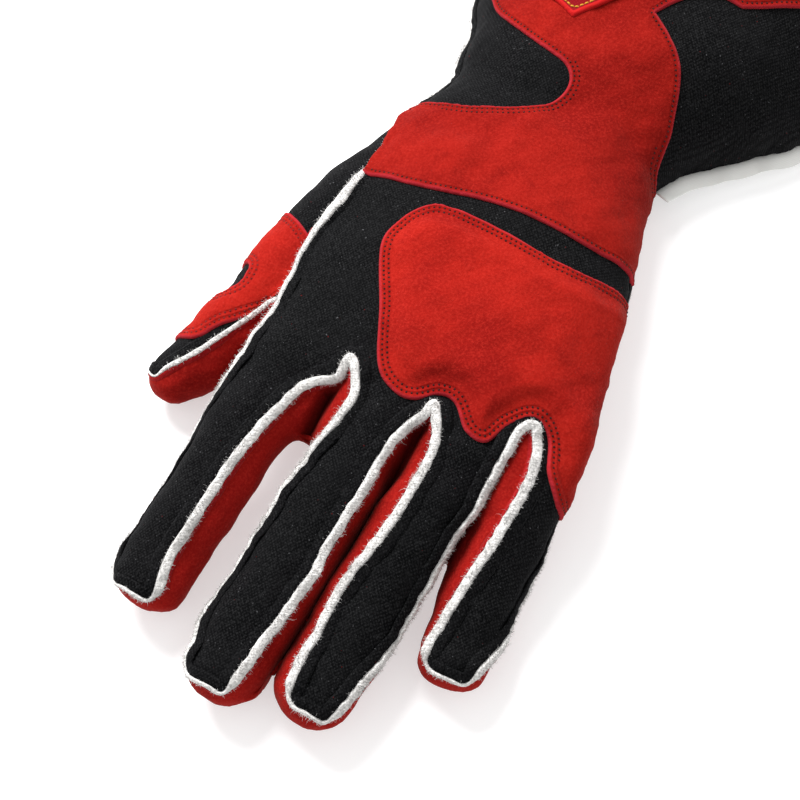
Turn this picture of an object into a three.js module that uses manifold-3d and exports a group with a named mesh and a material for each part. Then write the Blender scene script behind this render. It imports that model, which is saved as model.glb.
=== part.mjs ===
// Racing glove for a left hand, lying palm down: millimetres, +Z up, fingers toward -Y and thumb toward -X.
// A black knit back and a red suede palm side are hollow walls, sewn with the white lined seam edges outside.
import * as THREE from "three";
import { mergeVertices } from "three/addons/utils/BufferGeometryUtils.js";
import Module from "manifold-3d";

const wasm = await Module();
wasm.setup();

// Cloth sizes
const WALL = 2.4;
const GAP = 0.3;
const SEAM_HALF = 1.6;
const SEAM_STANDS = 2.5;
const LABEL_HALF = 1.0;
const LABEL_STANDS = 5.0;
const SUEDE = 1.3;
const HAND_PAD = 2.0;
const BADGE_THICK = 1.5;

// Places of the cuts across the glove, along Y
const HEM_OVERRUN = 12;
const OVERLAY_OVERRUN = 6;
const WRIST = 112;
const LABEL_START = 110;
const LABEL_SIDE = 10;
const FINGER_ROOT = -10;
const KNUCKLES = 60;
const BEYOND_TIPS = 150;

// Fineness of the lofts
const DIGIT_SIDES = 12;
const DIGIT_STEPS = 8;
const BODY_SIDES = 24;
const BODY_STEPS = 14;
const FAN_SIDES = 5;
const FAN_REACH = { finger: 2.4, thumb: 1.7 };
const TIP_SHARES = [0.6, 0.85, 0.98];
const SHORT_EDGE = 1.6;
const FLATNESS = 0.05;
const LEAST_TURN = 0.6;
const SAME_POINT = 1e-4;

// The origin is under the heel of the hand, at the middle of the footprint
const FOOTPRINT_CENTRE = new THREE.Vector3(12.87, 61.91, 0);

function table(columns, rows) {
  return rows.map((row) => Object.fromEntries(columns.map((column, i) => [column, row[i]])));
}

// Each digit from root to tip: centre, half width and height, and the seam angles from its top line
const DIGIT_COLUMNS = ["x", "y", "z", "w", "h", "left", "right"];
const DIGITS = {
  index: {
    tip: 8,
    stations: table(DIGIT_COLUMNS, [
      [-33, 34, 22, 15.0, 12.5, -46, 56],
      [-34, 4, 24.5, 15.0, 12.3, -56, 60],
      [-35.0, -14, 24, 14.0, 12.0, -68, 37],
      [-36.6, -35, 20.8, 12.5, 11.5, -96, 23],
      [-38.1, -57, 16, 12.0, 11.0, -104, 20],
      [-39.1, -75, 12.6, 11.9, 10.6, -100, 20],
      [-39.4, -83, 11.2, 11.4, 10.2, -94, 32],
    ]),
  },
  middle: {
    tip: 9,
    stations: table(DIGIT_COLUMNS, [
      [1, 34, 24, 14.0, 12.6, -40, 50],
      [0.2, 4, 26.5, 13.8, 12.5, -38, 50],
      [-1.2, -12, 26.3, 13.2, 12.2, -37, 38],
      [-3.1, -38, 22.6, 12.3, 11.6, -63, 40],
      [-4.6, -63, 17, 12.0, 11.2, -80, 42],
      [-5.7, -86, 12.6, 12.0, 10.8, -80, 35],
      [-6.0, -96, 11.2, 11.4, 10.2, -66, 32],
    ]),
  },
  ring: {
    tip: 9.5,
    stations: table(DIGIT_COLUMNS, [
      [26, 36, 23, 13.4, 12.4, -52, 52],
      [25.8, 6, 25.6, 13.3, 12.2, -52, 55],
      [24.6, -12, 25.2, 12.8, 11.9, -26, 68],
      [22.6, -35, 21.4, 12.4, 11.4, -18, 71],
      [21.9, -57, 16.6, 12.3, 11.0, -35, 81],
      [21.2, -78, 12.6, 12.3, 10.6, -33, 60],
      [21, -89, 11.2, 11.6, 10.0, -30, 50],
    ]),
  },
  little: {
    tip: 8,
    stations: table(DIGIT_COLUMNS, [
      [41, 40, 21, 9.0, 10.6, -30, 66],
      [45.6, 13, 23, 10.8, 11.2, -26, 90],
      [47.9, -4, 22.4, 11.1, 11.0, -4, 104],
      [48.3, -22, 18.8, 11.2, 10.6, -7, 112],
      [48.8, -40, 14.6, 11.4, 10.2, -19, 104],
      [50.2, -54, 11.6, 11.2, 9.8, -34, 72],
      [51, -61, 10.6, 10.6, 9.4, -42, 50],
    ]),
  },
  thumb: {
    tip: 6.5,
    stations: table(DIGIT_COLUMNS, [
      [-34, 92, 18.5, 10.6, 10.4, -124, 80],
      [-39, 76, 19, 13.2, 12.4, -124, 76],
      [-45.8, 58, 19.5, 13.8, 13.6, -124, 70],
      [-50.8, 40, 18.6, 12.8, 13.6, -122, 60],
      [-55.4, 20, 16.3, 11.5, 12.6, -120, 44],
      [-59.4, 0, 13.4, 10.8, 11.6, -116, 18],
      [-64.6, -14, 11, 9.8, 10.2, -110, 7],
      [-69.2, -23, 9.8, 8.2, 9.0, -104, -2],
    ]),
  },
};
const FINGERS = ["index", "middle", "ring", "little"];

// Hand and gauntlet: left and right sides, side seams, top and bottom heights, and a section's lean along Y
const BODY_COLUMNS = ["y", "left", "right", "seamX", "seamLeft", "seamRight", "top", "bottom", "lean"];
const BODY = table(BODY_COLUMNS, [
  [-24, -36, 48, -46.6, 27, 21, 28, 16, 0],
  [-20, -44, 53, -46.8, 28.4, 20, 32, 13, 0],
  [-8, -49, 56, -46.8, 30.4, 21, 37.5, 10, 0],
  [10, -50, 55.2, -46.9, 30.4, 21.5, 41, 6, 0],
  [32, -50.5, 51.4, -48.6, 30.4, 21, 43, 2, 0],
  [55, -50.5, 47.6, -50.4, 32, 20, 43, -1, 0],
  [76, -49, 41.6, -49.2, 27, 19, 41.5, -1, 0],
  [96, -45.4, 36.4, -45.4, 21, 16, 38.5, 0.5, 0],
  [110, -41.8, 34, -41.8, 18, 12, 37.5, 1.5, 0],
  [128, -44.2, 43.5, -44.2, 16, 7, 40, 0, -0.01],
  [152, -52.5, 65, -52.5, 14, 4.5, 44, -1, -0.03],
  [185, -59, 84, -59, 14, 4, 48, -1, -0.08],
  [217, -64, 100, -64, 14, 4, 51, -1, -0.14],
]);
const TOP_FULLNESS = 2.25;
const BOTTOM_FULLNESS = 2.7;
const SIDE_HIGH = 24;

// Soft folds on the back: middle, direction across the fold, half length, half width and height
const FOLDS = table(["x", "y", "turn", "long", "wide", "lift"], [
  [44, 140, 62, 26, 7, 2.2],
  [62, 158, 50, 26, 7, -2.4],
  [-30, 112, 80, 22, 6, -1.8],
  [-26, 124, 84, 20, 6, 1.4],
  [10, 118, 95, 22, 8, -1.3],
  [14, 92, 100, 26, 9, 1.0],
  [-22, 82, 70, 22, 8, -0.9],
]);

// Front limit of the knit back between the finger roots, a fork at each gap
const FORK_LINE = table(["x", "y"], [
  [-110, -9],
  [-24, -9],
  [-20.5, -1.4],
  [-17, 0.6],
  [-13, -3],
  [-8.7, -11.5],
  [7, -14],
  [9.8, -5.8],
  [12, -1.2],
  [14.8, -2.6],
  [19.4, -14],
  [36.7, -10],
  [37.4, 3.6],
  [39.6, 8.2],
  [43, 7.2],
  [47.6, -4],
  [51, -10],
  [110, -10],
]);

// Lines down the middle of each gap between fingers: their X at Y 0 and at GAP_END, beyond the tips
const GAP_END = -120;
const FINGER_GAPS = {
  index: { fromX: -17, toX: -27 },
  middle: { fromX: 12, toX: 5 },
  ring: { fromX: 36.8, toX: 36 },
};

// Line between the thumb and the hand in plan, from beyond the tips back to the thumb's root
const THUMB_LINE = table(["x", "y"], [
  [-64, -100],
  [-60, -40],
  [-53, -10],
  [-51, 5],
  [-51, 38],
]);

// Patch outlines in plan; a sharp point keeps its corner and the others are rounded
const POINT = ["x", "y", "sharp"];
const PATCHES = {
  hand: table(POINT, [
    [-20, 54.8, 0],
    [-25.6, 46.4, 0],
    [-26.6, 36, 0],
    [-16.4, 16.9, 0],
    [-8.4, 1.5, 0],
    [-0.6, -3.8, 0],
    [6.4, -3.6, 0],
    [12.4, 1.4, 0],
    [17.8, 1.2, 0],
    [24.5, -4.8, 0],
    [31, -4.6, 0],
    [34.6, 3.4, 0],
    [40, 9.4, 0],
    [46, 6.6, 0],
    [50.5, -2.5, 0],
    [57.4, -9.2, 1],
    [68, -9.2, 1],
    [68, 64.5, 1],
    [45.5, 63.2, 1],
    [25.3, 57.4, 0],
    [1.2, 57.6, 0],
    [-13, 57.2, 0],
  ]),
  cuff: table(POINT, [
    [-44.6, 58.6, 1],
    [-24.6, 60.2, 0],
    [-4, 64.8, 0],
    [12.9, 66.4, 0],
    [28, 67.5, 0],
    [41, 70.5, 1],
    [60, 74, 1],
    [60, 104, 1],
    [35.2, 108, 0],
    [31.4, 123, 0],
    [26, 138, 0],
    [17.5, 146.6, 0],
    [10, 151.4, 1],
    [15.9, 160, 0],
    [24, 165.6, 0],
    [33.5, 166.6, 1],
    [58, 182, 0],
    [92, 196, 1],
    [130, 240, 1],
    [-90, 240, 1],
    [-80, 160, 1],
    [-50, 147, 0],
    [-36.5, 134, 0],
    [-20, 126.6, 0],
    [-6.4, 122, 0],
    [-3.8, 114, 0],
    [-11, 104.2, 0],
    [-28, 96, 0],
    [-43, 93, 0],
    [-47.5, 88, 1],
    [-47.5, 70, 1],
  ]),
  thumb: table(POINT, [
    [-90, 42, 1],
    [-62.7, 39.8, 1],
    [-46, 30.2, 1],
    [-44, 12, 1],
    [-50, 13.4, 1],
    [-57.5, 3, 0],
    [-61.8, -4, 0],
    [-65.6, -10.4, 0],
    [-72, -12, 0],
    [-90, -9, 1],
    [-90, 6, 1],
    [-73, 7, 0],
    [-67.8, 10.4, 0],
    [-66, 15, 0],
    [-70, 19.4, 0],
    [-90, 20, 1],
  ]),
  badge: table(POINT, [
    [-12.9, 138.5, 1],
    [6.2, 161.6, 1],
    [-15.6, 171.6, 1],
    [-34.7, 148.5, 1],
  ]),
};

const KNIT = { color: 0x141416, roughness: 0.9, metalness: 0 };
const SUEDE_RED = { color: 0xc4201f, roughness: 0.95, metalness: 0 };
const LINING = { color: 0xe9e7e2, roughness: 0.95, metalness: 0 };
const LABEL_WHITE = { color: 0xeeeeec, roughness: 0.6, metalness: 0 };
const BADGE_RED = { color: 0xb81a1c, roughness: 0.5, metalness: 0 };

// Reach of the cutting solids past the glove
const FAR = 300;
const REGION_OUT = 32;
const REGION_IN = 6;
const REGION_TOP = 90;
const REGION_FOOT = -20;

// A cubic through the rows of a table, the same rule for every column
function smoothRow(rows, position) {
  const last = rows.length - 1;
  const at = Math.min(Math.floor(position), last - 1);
  const t = position - at;
  const [before, from, to, after] = [-1, 0, 1, 2].map((k) => rows[THREE.MathUtils.clamp(at + k, 0, last)]);
  const row = {};
  for (const column of Object.keys(from)) {
    const [a, b, c, d] = [before[column], from[column], to[column], after[column]];
    row[column] = b + 0.5 * t * (c - a + t * (2 * a - 5 * b + 4 * c - d + t * (3 * (b - c) + d - a)));
  }
  return row;
}

function resample(rows, steps) {
  return Array.from({ length: steps + 1 }, (_, i) => smoothRow(rows, (i / steps) * (rows.length - 1)));
}

function signedVolume(points, faces) {
  const p = (i) => points[faces[i]];
  let volume = 0;
  for (let i = 0; i < faces.length; i += 3) {
    volume += p(i).dot(new THREE.Vector3().crossVectors(p(i + 1), p(i + 2))) / 6;
  }
  return volume;
}

function toSolid(points, faces) {
  const outward = signedVolume(points, faces) > 0;
  const triVerts = new Uint32Array(faces);
  if (!outward) triVerts.reverse();
  const vertProperties = new Float32Array(points.flatMap((p) => p.toArray()));
  return new wasm.Manifold(new wasm.Mesh({ numProp: 3, vertProperties, triVerts }));
}

// A closed solid through rings of equal count, with a fan over each end
function loft(rings) {
  const sides = rings[0].length;
  const points = rings.flat();
  const faces = [];
  for (let r = 0; r + 1 < rings.length; r += 1) {
    for (let s = 0; s < sides; s += 1) {
      const [a, b] = [r * sides + s, r * sides + ((s + 1) % sides)];
      faces.push(a, b, a + sides, b, b + sides, a + sides);
    }
  }
  const centre = (ring) => ring.reduce((sum, p) => sum.add(p), new THREE.Vector3()).divideScalar(sides);
  for (const [ring, start, turn] of [[rings[0], 0, 1], [rings.at(-1), (rings.length - 1) * sides, -1]]) {
    points.push(centre(ring));
    for (let s = 0; s < sides; s += 1) {
      const [a, b] = [start + s, start + ((s + 1) % sides)];
      faces.push(points.length - 1, turn > 0 ? b : a, turn > 0 ? a : b);
    }
  }
  return toSolid(points, faces);
}

// A plan outline as a prism through the whole height
function prism(outline) {
  const shape = new THREE.Shape(outline.map((p) => new THREE.Vector2(p.x, p.y)));
  const geometry = new THREE.ExtrudeGeometry(shape, { depth: REGION_TOP - REGION_FOOT, bevelEnabled: false });
  geometry.translate(0, 0, REGION_FOOT);
  geometry.deleteAttribute("normal");
  geometry.deleteAttribute("uv");
  const merged = mergeVertices(geometry, SAME_POINT);
  const position = merged.getAttribute("position");
  const pointAt = (_, i) => new THREE.Vector3().fromBufferAttribute(position, i);
  return toSolid(Array.from({ length: position.count }, pointAt), Array.from(merged.index.array));
}

// Rounds an outline between its sharp points with a cubic
function roundedOutline(rows, stepsPerSpan = 3) {
  const outline = [];
  rows.forEach((row, i) => {
    const at = (k) => rows[(i + k + rows.length) % rows.length];
    const [from, to] = [at(0), at(1)];
    const before = from.sharp ? from : at(-1);
    const after = to.sharp ? to : at(2);
    const steps = from.sharp && to.sharp ? 1 : stepsPerSpan;
    for (let k = 0; k < steps; k += 1) {
      outline.push(smoothRow([before, from, to, after], 1 + k / steps));
    }
  });
  return outline;
}

function joined(solids) {
  return solids.reduce((sum, solid) => sum.add(solid));
}

// Floor kept by a wall that is grown outwards or shrunk inwards
function floorOf(grow) {
  return Math.max(0, -grow);
}

// Axis, directions and half sizes of a digit at each section, with its rounded tip
function digitSections(name, grow) {
  const { stations, tip } = DIGITS[name];
  const rows = resample(stations, DIGIT_STEPS);
  const last = rows.at(-1);
  const beforeLast = rows.at(-2);
  const end = new THREE.Vector3(last.x, last.y, last.z);
  const onward = end.clone().sub(new THREE.Vector3(beforeLast.x, beforeLast.y, beforeLast.z)).normalize();
  const sections = rows.map((row) => ({ ...row, w: row.w + grow, h: row.h + grow }));
  for (const share of TIP_SHARES) {
    const { x, y, z } = end.clone().addScaledVector(onward, share * (tip + grow));
    const rest = Math.sqrt(1 - share * share);
    sections.push({ ...last, x, y, z, w: (last.w + grow) * rest, h: (last.h + grow) * rest });
  }
  sections.forEach((section, i) => {
    const [a, b] = [sections[Math.max(i - 1, 0)], sections[Math.min(i + 1, sections.length - 1)]];
    const along = new THREE.Vector3(b.x - a.x, b.y - a.y, b.z - a.z).normalize();
    section.side = new THREE.Vector3(0, 0, 1).cross(along).normalize();
    section.up = along.clone().cross(section.side);
  });
  return sections;
}

function pointAround(section, degrees, reach = 1) {
  const angle = THREE.MathUtils.degToRad(degrees);
  return new THREE.Vector3(section.x, section.y, section.z)
    .addScaledVector(section.side, section.w * reach * Math.sin(angle))
    .addScaledVector(section.up, section.h * reach * Math.cos(angle));
}

function digitTube(name, grow) {
  const rings = digitSections(name, grow).map((section) =>
    Array.from({ length: DIGIT_SIDES }, (_, s) => {
      const point = pointAround(section, (s / DIGIT_SIDES) * 360);
      point.z = Math.max(point.z, floorOf(grow));
      return point;
    }),
  );
  return loft(rings);
}

// The wedge of space over a digit's back, out past its wall, widened by spread on every edge
function digitFan(name, spread) {
  const sections = digitSections(name, 0).slice(0, 1 - TIP_SHARES.length);
  const tipSection = sections.pop();
  const { w, h } = sections.at(-1);
  const along = tipSection.side.clone().cross(tipSection.up);
  const end = new THREE.Vector3(tipSection.x, tipSection.y, tipSection.z).addScaledVector(along, spread);
  sections.push({ ...tipSection, w, h, x: end.x, y: end.y, z: end.z });
  const reach = FAN_REACH[name] ?? FAN_REACH.finger;
  const rings = sections.map((section) => {
    const more = THREE.MathUtils.radToDeg(spread / section.w);
    const [from, to] = [section.left - more, section.right + more];
    const arc = Array.from({ length: FAN_SIDES + 1 }, (_, k) =>
      pointAround(section, THREE.MathUtils.lerp(from, to, k / FAN_SIDES), reach),
    );
    return [new THREE.Vector3(section.x, section.y, section.z), ...arc];
  });
  return loft(rings);
}

function foldLift(x, y) {
  return FOLDS.reduce((sum, fold) => {
    const angle = THREE.MathUtils.degToRad(fold.turn);
    const [dx, dy] = [x - fold.x, y - fold.y];
    const along = (dx * Math.sin(angle) - dy * Math.cos(angle)) / fold.long;
    const across = (dx * Math.cos(angle) + dy * Math.sin(angle)) / fold.wide;
    return sum + fold.lift * Math.exp(-along * along - across * across);
  }, 0);
}

function superellipse(degrees, fullness) {
  const angle = THREE.MathUtils.degToRad(degrees);
  const power = (value) => Math.sign(value) * Math.abs(value) ** (2 / fullness);
  return { across: power(Math.cos(angle)), height: Math.abs(power(Math.sin(angle))) };
}

function bodyRing(row, grow, y) {
  const middle = (row.left + row.right) / 2;
  const halfWidth = (row.right - row.left) / 2 + grow;
  return Array.from({ length: BODY_SIDES }, (_, s) => {
    const degrees = (s / BODY_SIDES) * 360;
    const onTop = degrees <= 180;
    const { across, height } = superellipse(degrees, onTop ? TOP_FULLNESS : BOTTOM_FULLNESS);
    const x = middle + halfWidth * across;
    const seam = THREE.MathUtils.lerp(Math.min(row.seamLeft, SIDE_HIGH), row.seamRight, (across + 1) / 2);
    const yLeaned = y + row.lean * (x - middle);
    const rise = onTop ? row.top + grow - seam + foldLift(x, yLeaned) : row.bottom - grow - seam;
    return new THREE.Vector3(x, yLeaned, Math.max(seam + height * rise, floorOf(grow)));
  });
}

function bodyForm(grow, overrun) {
  const rows = resample(BODY, BODY_STEPS);
  const rings = rows.map((row, i) => bodyRing(row, grow, i === 0 ? row.y - grow : row.y));
  if (overrun > 0) {
    const hem = rows.at(-1);
    rings.push(bodyRing(hem, grow, hem.y + overrun));
  }
  return loft(rings);
}

// The glove's whole form with every wall moved outwards by grow, run past the hem by overrun
function form(grow, overrun = 0) {
  return joined([bodyForm(grow, overrun), ...Object.keys(DIGITS).map((name) => digitTube(name, grow))]);
}

// Moves each point of a plan line sideways, along the mean of the normals beside it
function offsetLine(line, by) {
  return line.map((point, i) => {
    const [before, after] = [line[Math.max(i - 1, 0)], line[Math.min(i + 1, line.length - 1)]];
    const [dx, dy] = [after.x - before.x, after.y - before.y];
    const length = Math.hypot(dx, dy);
    return { x: point.x + (by * dy) / length, y: point.y - (by * dx) / length };
  });
}

// The space over the side seams, back from the fork line: its left side slopes, as the seam climbs the thumb
function bodyTop(spread) {
  const slope = spread * Math.SQRT1_2;
  const rings = resample(BODY, BODY_STEPS).map((row) => {
    const [x, z] = [row.seamX - slope, row.seamLeft - slope];
    return [
      new THREE.Vector3(x - REGION_OUT, row.y - row.lean * REGION_OUT, z + REGION_OUT),
      new THREE.Vector3(x + REGION_IN, row.y, z - REGION_IN),
      new THREE.Vector3(row.right - 2 * REGION_IN, row.y, row.seamRight - spread),
      new THREE.Vector3(row.right + REGION_OUT, row.y, row.seamRight - spread),
      new THREE.Vector3(row.right + REGION_OUT, row.y, REGION_TOP),
      new THREE.Vector3(x - REGION_OUT, row.y, REGION_TOP),
    ];
  });
  rings.push(rings.at(-1).map((point) => point.clone().add(new THREE.Vector3(0, REGION_OUT, 0))));
  const backY = BODY.at(-1).y + REGION_OUT;
  const plan = [...offsetLine(FORK_LINE, spread), { x: FAR, y: backY }, { x: -FAR, y: backY }];
  return loft(rings).intersect(prism(plan));
}

// The space that the knit back takes up, widened by spread on every edge
function backRegion(spread) {
  const fans = FINGERS.map((name) => digitFan(name, spread).intersect(fingerZone(name, spread, KNUCKLES)));
  return joined([bodyTop(spread), ...fans]);
}

function planZone(points) {
  return prism(points.map(([x, y]) => ({ x, y })));
}

function behind(y) {
  return planZone([[-FAR, y], [FAR, y], [FAR, FAR], [-FAR, FAR]]);
}

function ahead(y) {
  return planZone([[-FAR, -FAR], [FAR, -FAR], [FAR, y], [-FAR, y]]);
}

// Gap line between two fingers, as its X at a given Y
function gapX(name, y) {
  const gap = FINGER_GAPS[name];
  return THREE.MathUtils.mapLinear(y, 0, GAP_END, gap.fromX, gap.toX);
}

// Plan zone of one finger between its gap lines, widened by spread, from beyond the tips back to backY
function fingerZone(name, spread, backY) {
  const order = FINGERS.indexOf(name);
  const frontY = -BEYOND_TIPS;
  const left = (y) => (order > 0 ? gapX(FINGERS[order - 1], y) - spread : -FAR);
  const right = (y) => (order < FINGERS.length - 1 ? gapX(name, y) + spread : FAR);
  const [front, back] = [frontY, backY].map((y) => [[left(y), y], [right(y), y]]);
  return planZone([...front, ...back.reverse()]);
}

// Plan zone left of the line between thumb and hand
function thumbZone(shift) {
  const line = THUMB_LINE.map(({ x, y }) => [x + shift, y]);
  const backY = THUMB_LINE.at(-1).y + shift;
  line.at(-1)[1] = backY;
  return planZone([[-FAR, THUMB_LINE[0].y], ...line, [-FAR, backY]]);
}

// Axis line of a finger in plan, from beyond its tip back to the hand
function axisLine(name, backY) {
  const stations = DIGITS[name].stations;
  const tip = stations.at(-1);
  const root = stations[0];
  return [[tip.x, -BEYOND_TIPS], ...stations.slice().reverse().map((s) => [s.x, s.y]), [root.x, backY]];
}

// Plan zone between the axis lines of two fingers, or outside the outer ones
function seamZone(leftName, rightName) {
  const half = GAP / 2;
  const shift = (line, by) => line.map(([x, y]) => [x + by, y]);
  const left = leftName ? shift(axisLine(leftName, FAR), half) : [[-FAR, -BEYOND_TIPS], [-FAR, FAR]];
  const right = rightName ? shift(axisLine(rightName, FAR), -half) : [[FAR, -BEYOND_TIPS], [FAR, FAR]];
  return planZone([...left.reverse(), ...right]);
}

// The greatest connected body of a solid, as points and faces
function mainBody(solid) {
  const mesh = solid.getMesh();
  const parent = Array.from({ length: mesh.vertProperties.length / mesh.numProp }, (_, i) => i);
  const rootOf = (i) => {
    let k = i;
    while (parent[k] !== k) {
      parent[k] = parent[parent[k]];
      k = parent[k];
    }
    return k;
  };
  for (let i = 0; i < mesh.triVerts.length; i += 3) {
    parent[rootOf(mesh.triVerts[i + 1])] = rootOf(mesh.triVerts[i]);
    parent[rootOf(mesh.triVerts[i + 2])] = rootOf(mesh.triVerts[i]);
  }
  const bodies = new Map();
  for (let i = 0; i < mesh.triVerts.length; i += 3) {
    const key = rootOf(mesh.triVerts[i]);
    if (!bodies.has(key)) bodies.set(key, []);
    bodies.get(key).push(mesh.triVerts[i], mesh.triVerts[i + 1], mesh.triVerts[i + 2]);
  }
  const points = parent.map((_, i) => new THREE.Vector3().fromArray(mesh.vertProperties, i * mesh.numProp));
  const ranked = [...bodies.values()].sort((a, b) => signedVolume(points, b) - signedVolume(points, a));
  return { points, faces: ranked[0] };
}

function normalOf(points, face) {
  const [a, b, c] = face.map((i) => points[i]);
  return b.clone().sub(a).cross(c.clone().sub(a));
}

// Draws one end of each short edge onto the other where the surface stays closed and nearly in place
function withoutShortEdges({ points, faces }) {
  const triangles = Array.from({ length: faces.length / 3 }, (_, i) => faces.slice(3 * i, 3 * i + 3));
  const around = points.map(() => new Set());
  triangles.forEach((face, i) => face.forEach((corner) => around[corner].add(i)));
  const neighbours = (i) => new Set([...around[i]].flatMap((f) => triangles[f]).filter((k) => k !== i));
  const canMerge = (keep, drop) => {
    const near = neighbours(keep);
    if ([...neighbours(drop)].filter((k) => near.has(k)).length !== 2) return false;
    return [...around[drop]].every((f) => {
      const face = triangles[f];
      if (face.includes(keep)) return true;
      const before = normalOf(points, face);
      const after = normalOf(points, face.map((k) => (k === drop ? keep : k)));
      const turned = after.dot(before) < LEAST_TURN * after.length() * before.length();
      const moved = Math.abs(after.normalize().dot(points[drop].clone().sub(points[keep])));
      return after.length() > 0 && !turned && moved < FLATNESS;
    });
  };
  const merge = (keep, drop) => {
    for (const f of [...around[drop]]) {
      const face = triangles[f];
      if (face.includes(keep)) {
        face.forEach((k) => around[k].delete(f));
        triangles[f] = null;
      } else {
        face[face.indexOf(drop)] = keep;
        around[keep].add(f);
      }
    }
    around[drop].clear();
  };
  let merged = true;
  while (merged) {
    merged = false;
    triangles.forEach((_, f) => {
      for (let k = 0; k < 3 && triangles[f]; k += 1) {
        const [a, b] = [triangles[f][k], triangles[f][(k + 1) % 3]];
        if (points[a].distanceTo(points[b]) >= SHORT_EDGE) continue;
        const pair = [[a, b], [b, a]].find(([keep, drop]) => canMerge(keep, drop));
        if (!pair) continue;
        merge(...pair);
        merged = true;
      }
    });
  }
  return { points, faces: triangles.filter(Boolean).flat() };
}

function toGeometry(solid) {
  const { points, faces } = withoutShortEdges(mainBody(solid));
  const geometry = new THREE.BufferGeometry();
  geometry.setAttribute("position", new THREE.Float32BufferAttribute(points.flatMap((p) => p.toArray()), 3));
  geometry.setIndex(faces);
  return geometry;
}

const inner = form(-WALL, HEM_OVERRUN);
const shell = form(0).subtract(inner);
const CLEAR = SEAM_HALF + GAP;
const backWide = backRegion(CLEAR);
const backTight = backRegion(-CLEAR);
const thumbWide = digitFan("thumb", CLEAR);
const thumbTight = digitFan("thumb", -CLEAR);

function palmSide() {
  return shell.subtract(backWide).subtract(thumbWide);
}

function seams() {
  const band = backRegion(SEAM_HALF).subtract(backRegion(-SEAM_HALF));
  const standing = form(SEAM_STANDS).subtract(inner).intersect(band);
  const cuffRight = (low) => planZone([[LABEL_SIDE, low], [FAR, low], [FAR, FAR], [LABEL_SIDE, FAR]]);
  const rightSide = seamZone("little").add(cuffRight(KNUCKLES));
  const thumbBand = digitFan("thumb", SEAM_HALF).subtract(digitFan("thumb", -SEAM_HALF));
  const labelBand = backRegion(LABEL_HALF).subtract(backRegion(-LABEL_HALF));
  return {
    hand_side_seam: standing.intersect(seamZone(undefined, "index")),
    index_middle_seam: standing.intersect(seamZone("index", "middle")).intersect(ahead(KNUCKLES)),
    middle_ring_seam: standing.intersect(seamZone("middle", "ring")).intersect(ahead(KNUCKLES)),
    ring_little_seam: standing.intersect(seamZone("ring", "little")).intersect(ahead(KNUCKLES)),
    little_side_seam: standing.intersect(rightSide).subtract(cuffRight(LABEL_START - GAP)),
    thumb_seam: form(SEAM_STANDS).subtract(inner).intersect(thumbBand).subtract(backWide),
    side_label: form(LABEL_STANDS).subtract(inner).intersect(labelBand).intersect(cuffRight(LABEL_START)),
  };
}

function overlay(outline, low, high, region) {
  const layer = form(high).subtract(form(low, OVERLAY_OVERRUN));
  return layer.intersect(prism(roundedOutline(outline))).intersect(region);
}

const glove = new THREE.Group();

function addPiece(name, solid, finish) {
  const mesh = new THREE.Mesh(toGeometry(solid), new THREE.MeshStandardMaterial(finish));
  mesh.name = name;
  mesh.position.copy(FOOTPRINT_CENTRE).negate();
  glove.add(mesh);
}

function addBackPanels() {
  addPiece("back_panel", shell.intersect(backTight), KNIT);
  addPiece("thumb_back", shell.intersect(thumbTight).subtract(backWide), KNIT);
}

function addPalmSide() {
  const all = palmSide();
  const palm = all.subtract(ahead(FINGER_ROOT + GAP)).subtract(thumbZone(GAP)).subtract(behind(WRIST));
  addPiece("palm", palm, SUEDE_RED);
  addPiece("gauntlet_underside", all.intersect(behind(WRIST + GAP)), KNIT);
  for (const name of FINGERS) {
    const front = all.intersect(fingerZone(name, -GAP / 2, FINGER_ROOT)).subtract(thumbZone(GAP));
    addPiece(`${name}_front`, front, SUEDE_RED);
  }
  addPiece("thumb_front", all.intersect(thumbZone(0)), SUEDE_RED);
}

function addSeams() {
  for (const [name, solid] of Object.entries(seams())) {
    addPiece(name, solid, name === "side_label" ? LABEL_WHITE : LINING);
  }
}

function addPatches() {
  const cuffTop = GAP + SUEDE;
  addPiece("hand_patch", overlay(PATCHES.hand, GAP, GAP + HAND_PAD, backTight), SUEDE_RED);
  addPiece("cuff_patch", overlay(PATCHES.cuff, GAP, cuffTop, backTight), SUEDE_RED);
  addPiece("thumb_patch", overlay(PATCHES.thumb, GAP, cuffTop, thumbTight).subtract(backWide), SUEDE_RED);
  addPiece("badge", overlay(PATCHES.badge, cuffTop + GAP, cuffTop + GAP + BADGE_THICK, backTight), BADGE_RED);
}

addBackPanels();
addPalmSide();
addSeams();
addPatches();

export default glove;
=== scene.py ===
"""Looks of the racing glove: a knit back and suede palm sewn with raw fleece seams, and suede patches."""

import logging
from dataclasses import dataclass, field
from enum import Enum

import bpy
import numpy as np
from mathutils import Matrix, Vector


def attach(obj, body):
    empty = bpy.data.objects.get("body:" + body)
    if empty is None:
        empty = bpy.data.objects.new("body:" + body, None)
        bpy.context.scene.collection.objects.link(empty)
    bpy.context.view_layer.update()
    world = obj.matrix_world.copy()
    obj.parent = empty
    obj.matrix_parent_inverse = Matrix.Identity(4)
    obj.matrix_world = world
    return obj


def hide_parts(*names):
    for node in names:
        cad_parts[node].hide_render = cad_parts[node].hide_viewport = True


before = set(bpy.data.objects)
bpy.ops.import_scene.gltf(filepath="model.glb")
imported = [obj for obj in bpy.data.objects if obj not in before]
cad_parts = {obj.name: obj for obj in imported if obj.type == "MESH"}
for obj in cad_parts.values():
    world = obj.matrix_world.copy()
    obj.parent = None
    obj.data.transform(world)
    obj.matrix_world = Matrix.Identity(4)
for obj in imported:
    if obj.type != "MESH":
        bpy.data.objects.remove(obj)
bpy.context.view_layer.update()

LOG = logging.getLogger("glove")
Array = np.ndarray
Triple = tuple[float, float, float]
Outline = list[tuple[float, float, int]]
Links = dict[str | int, bpy.types.NodeSocket]

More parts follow.
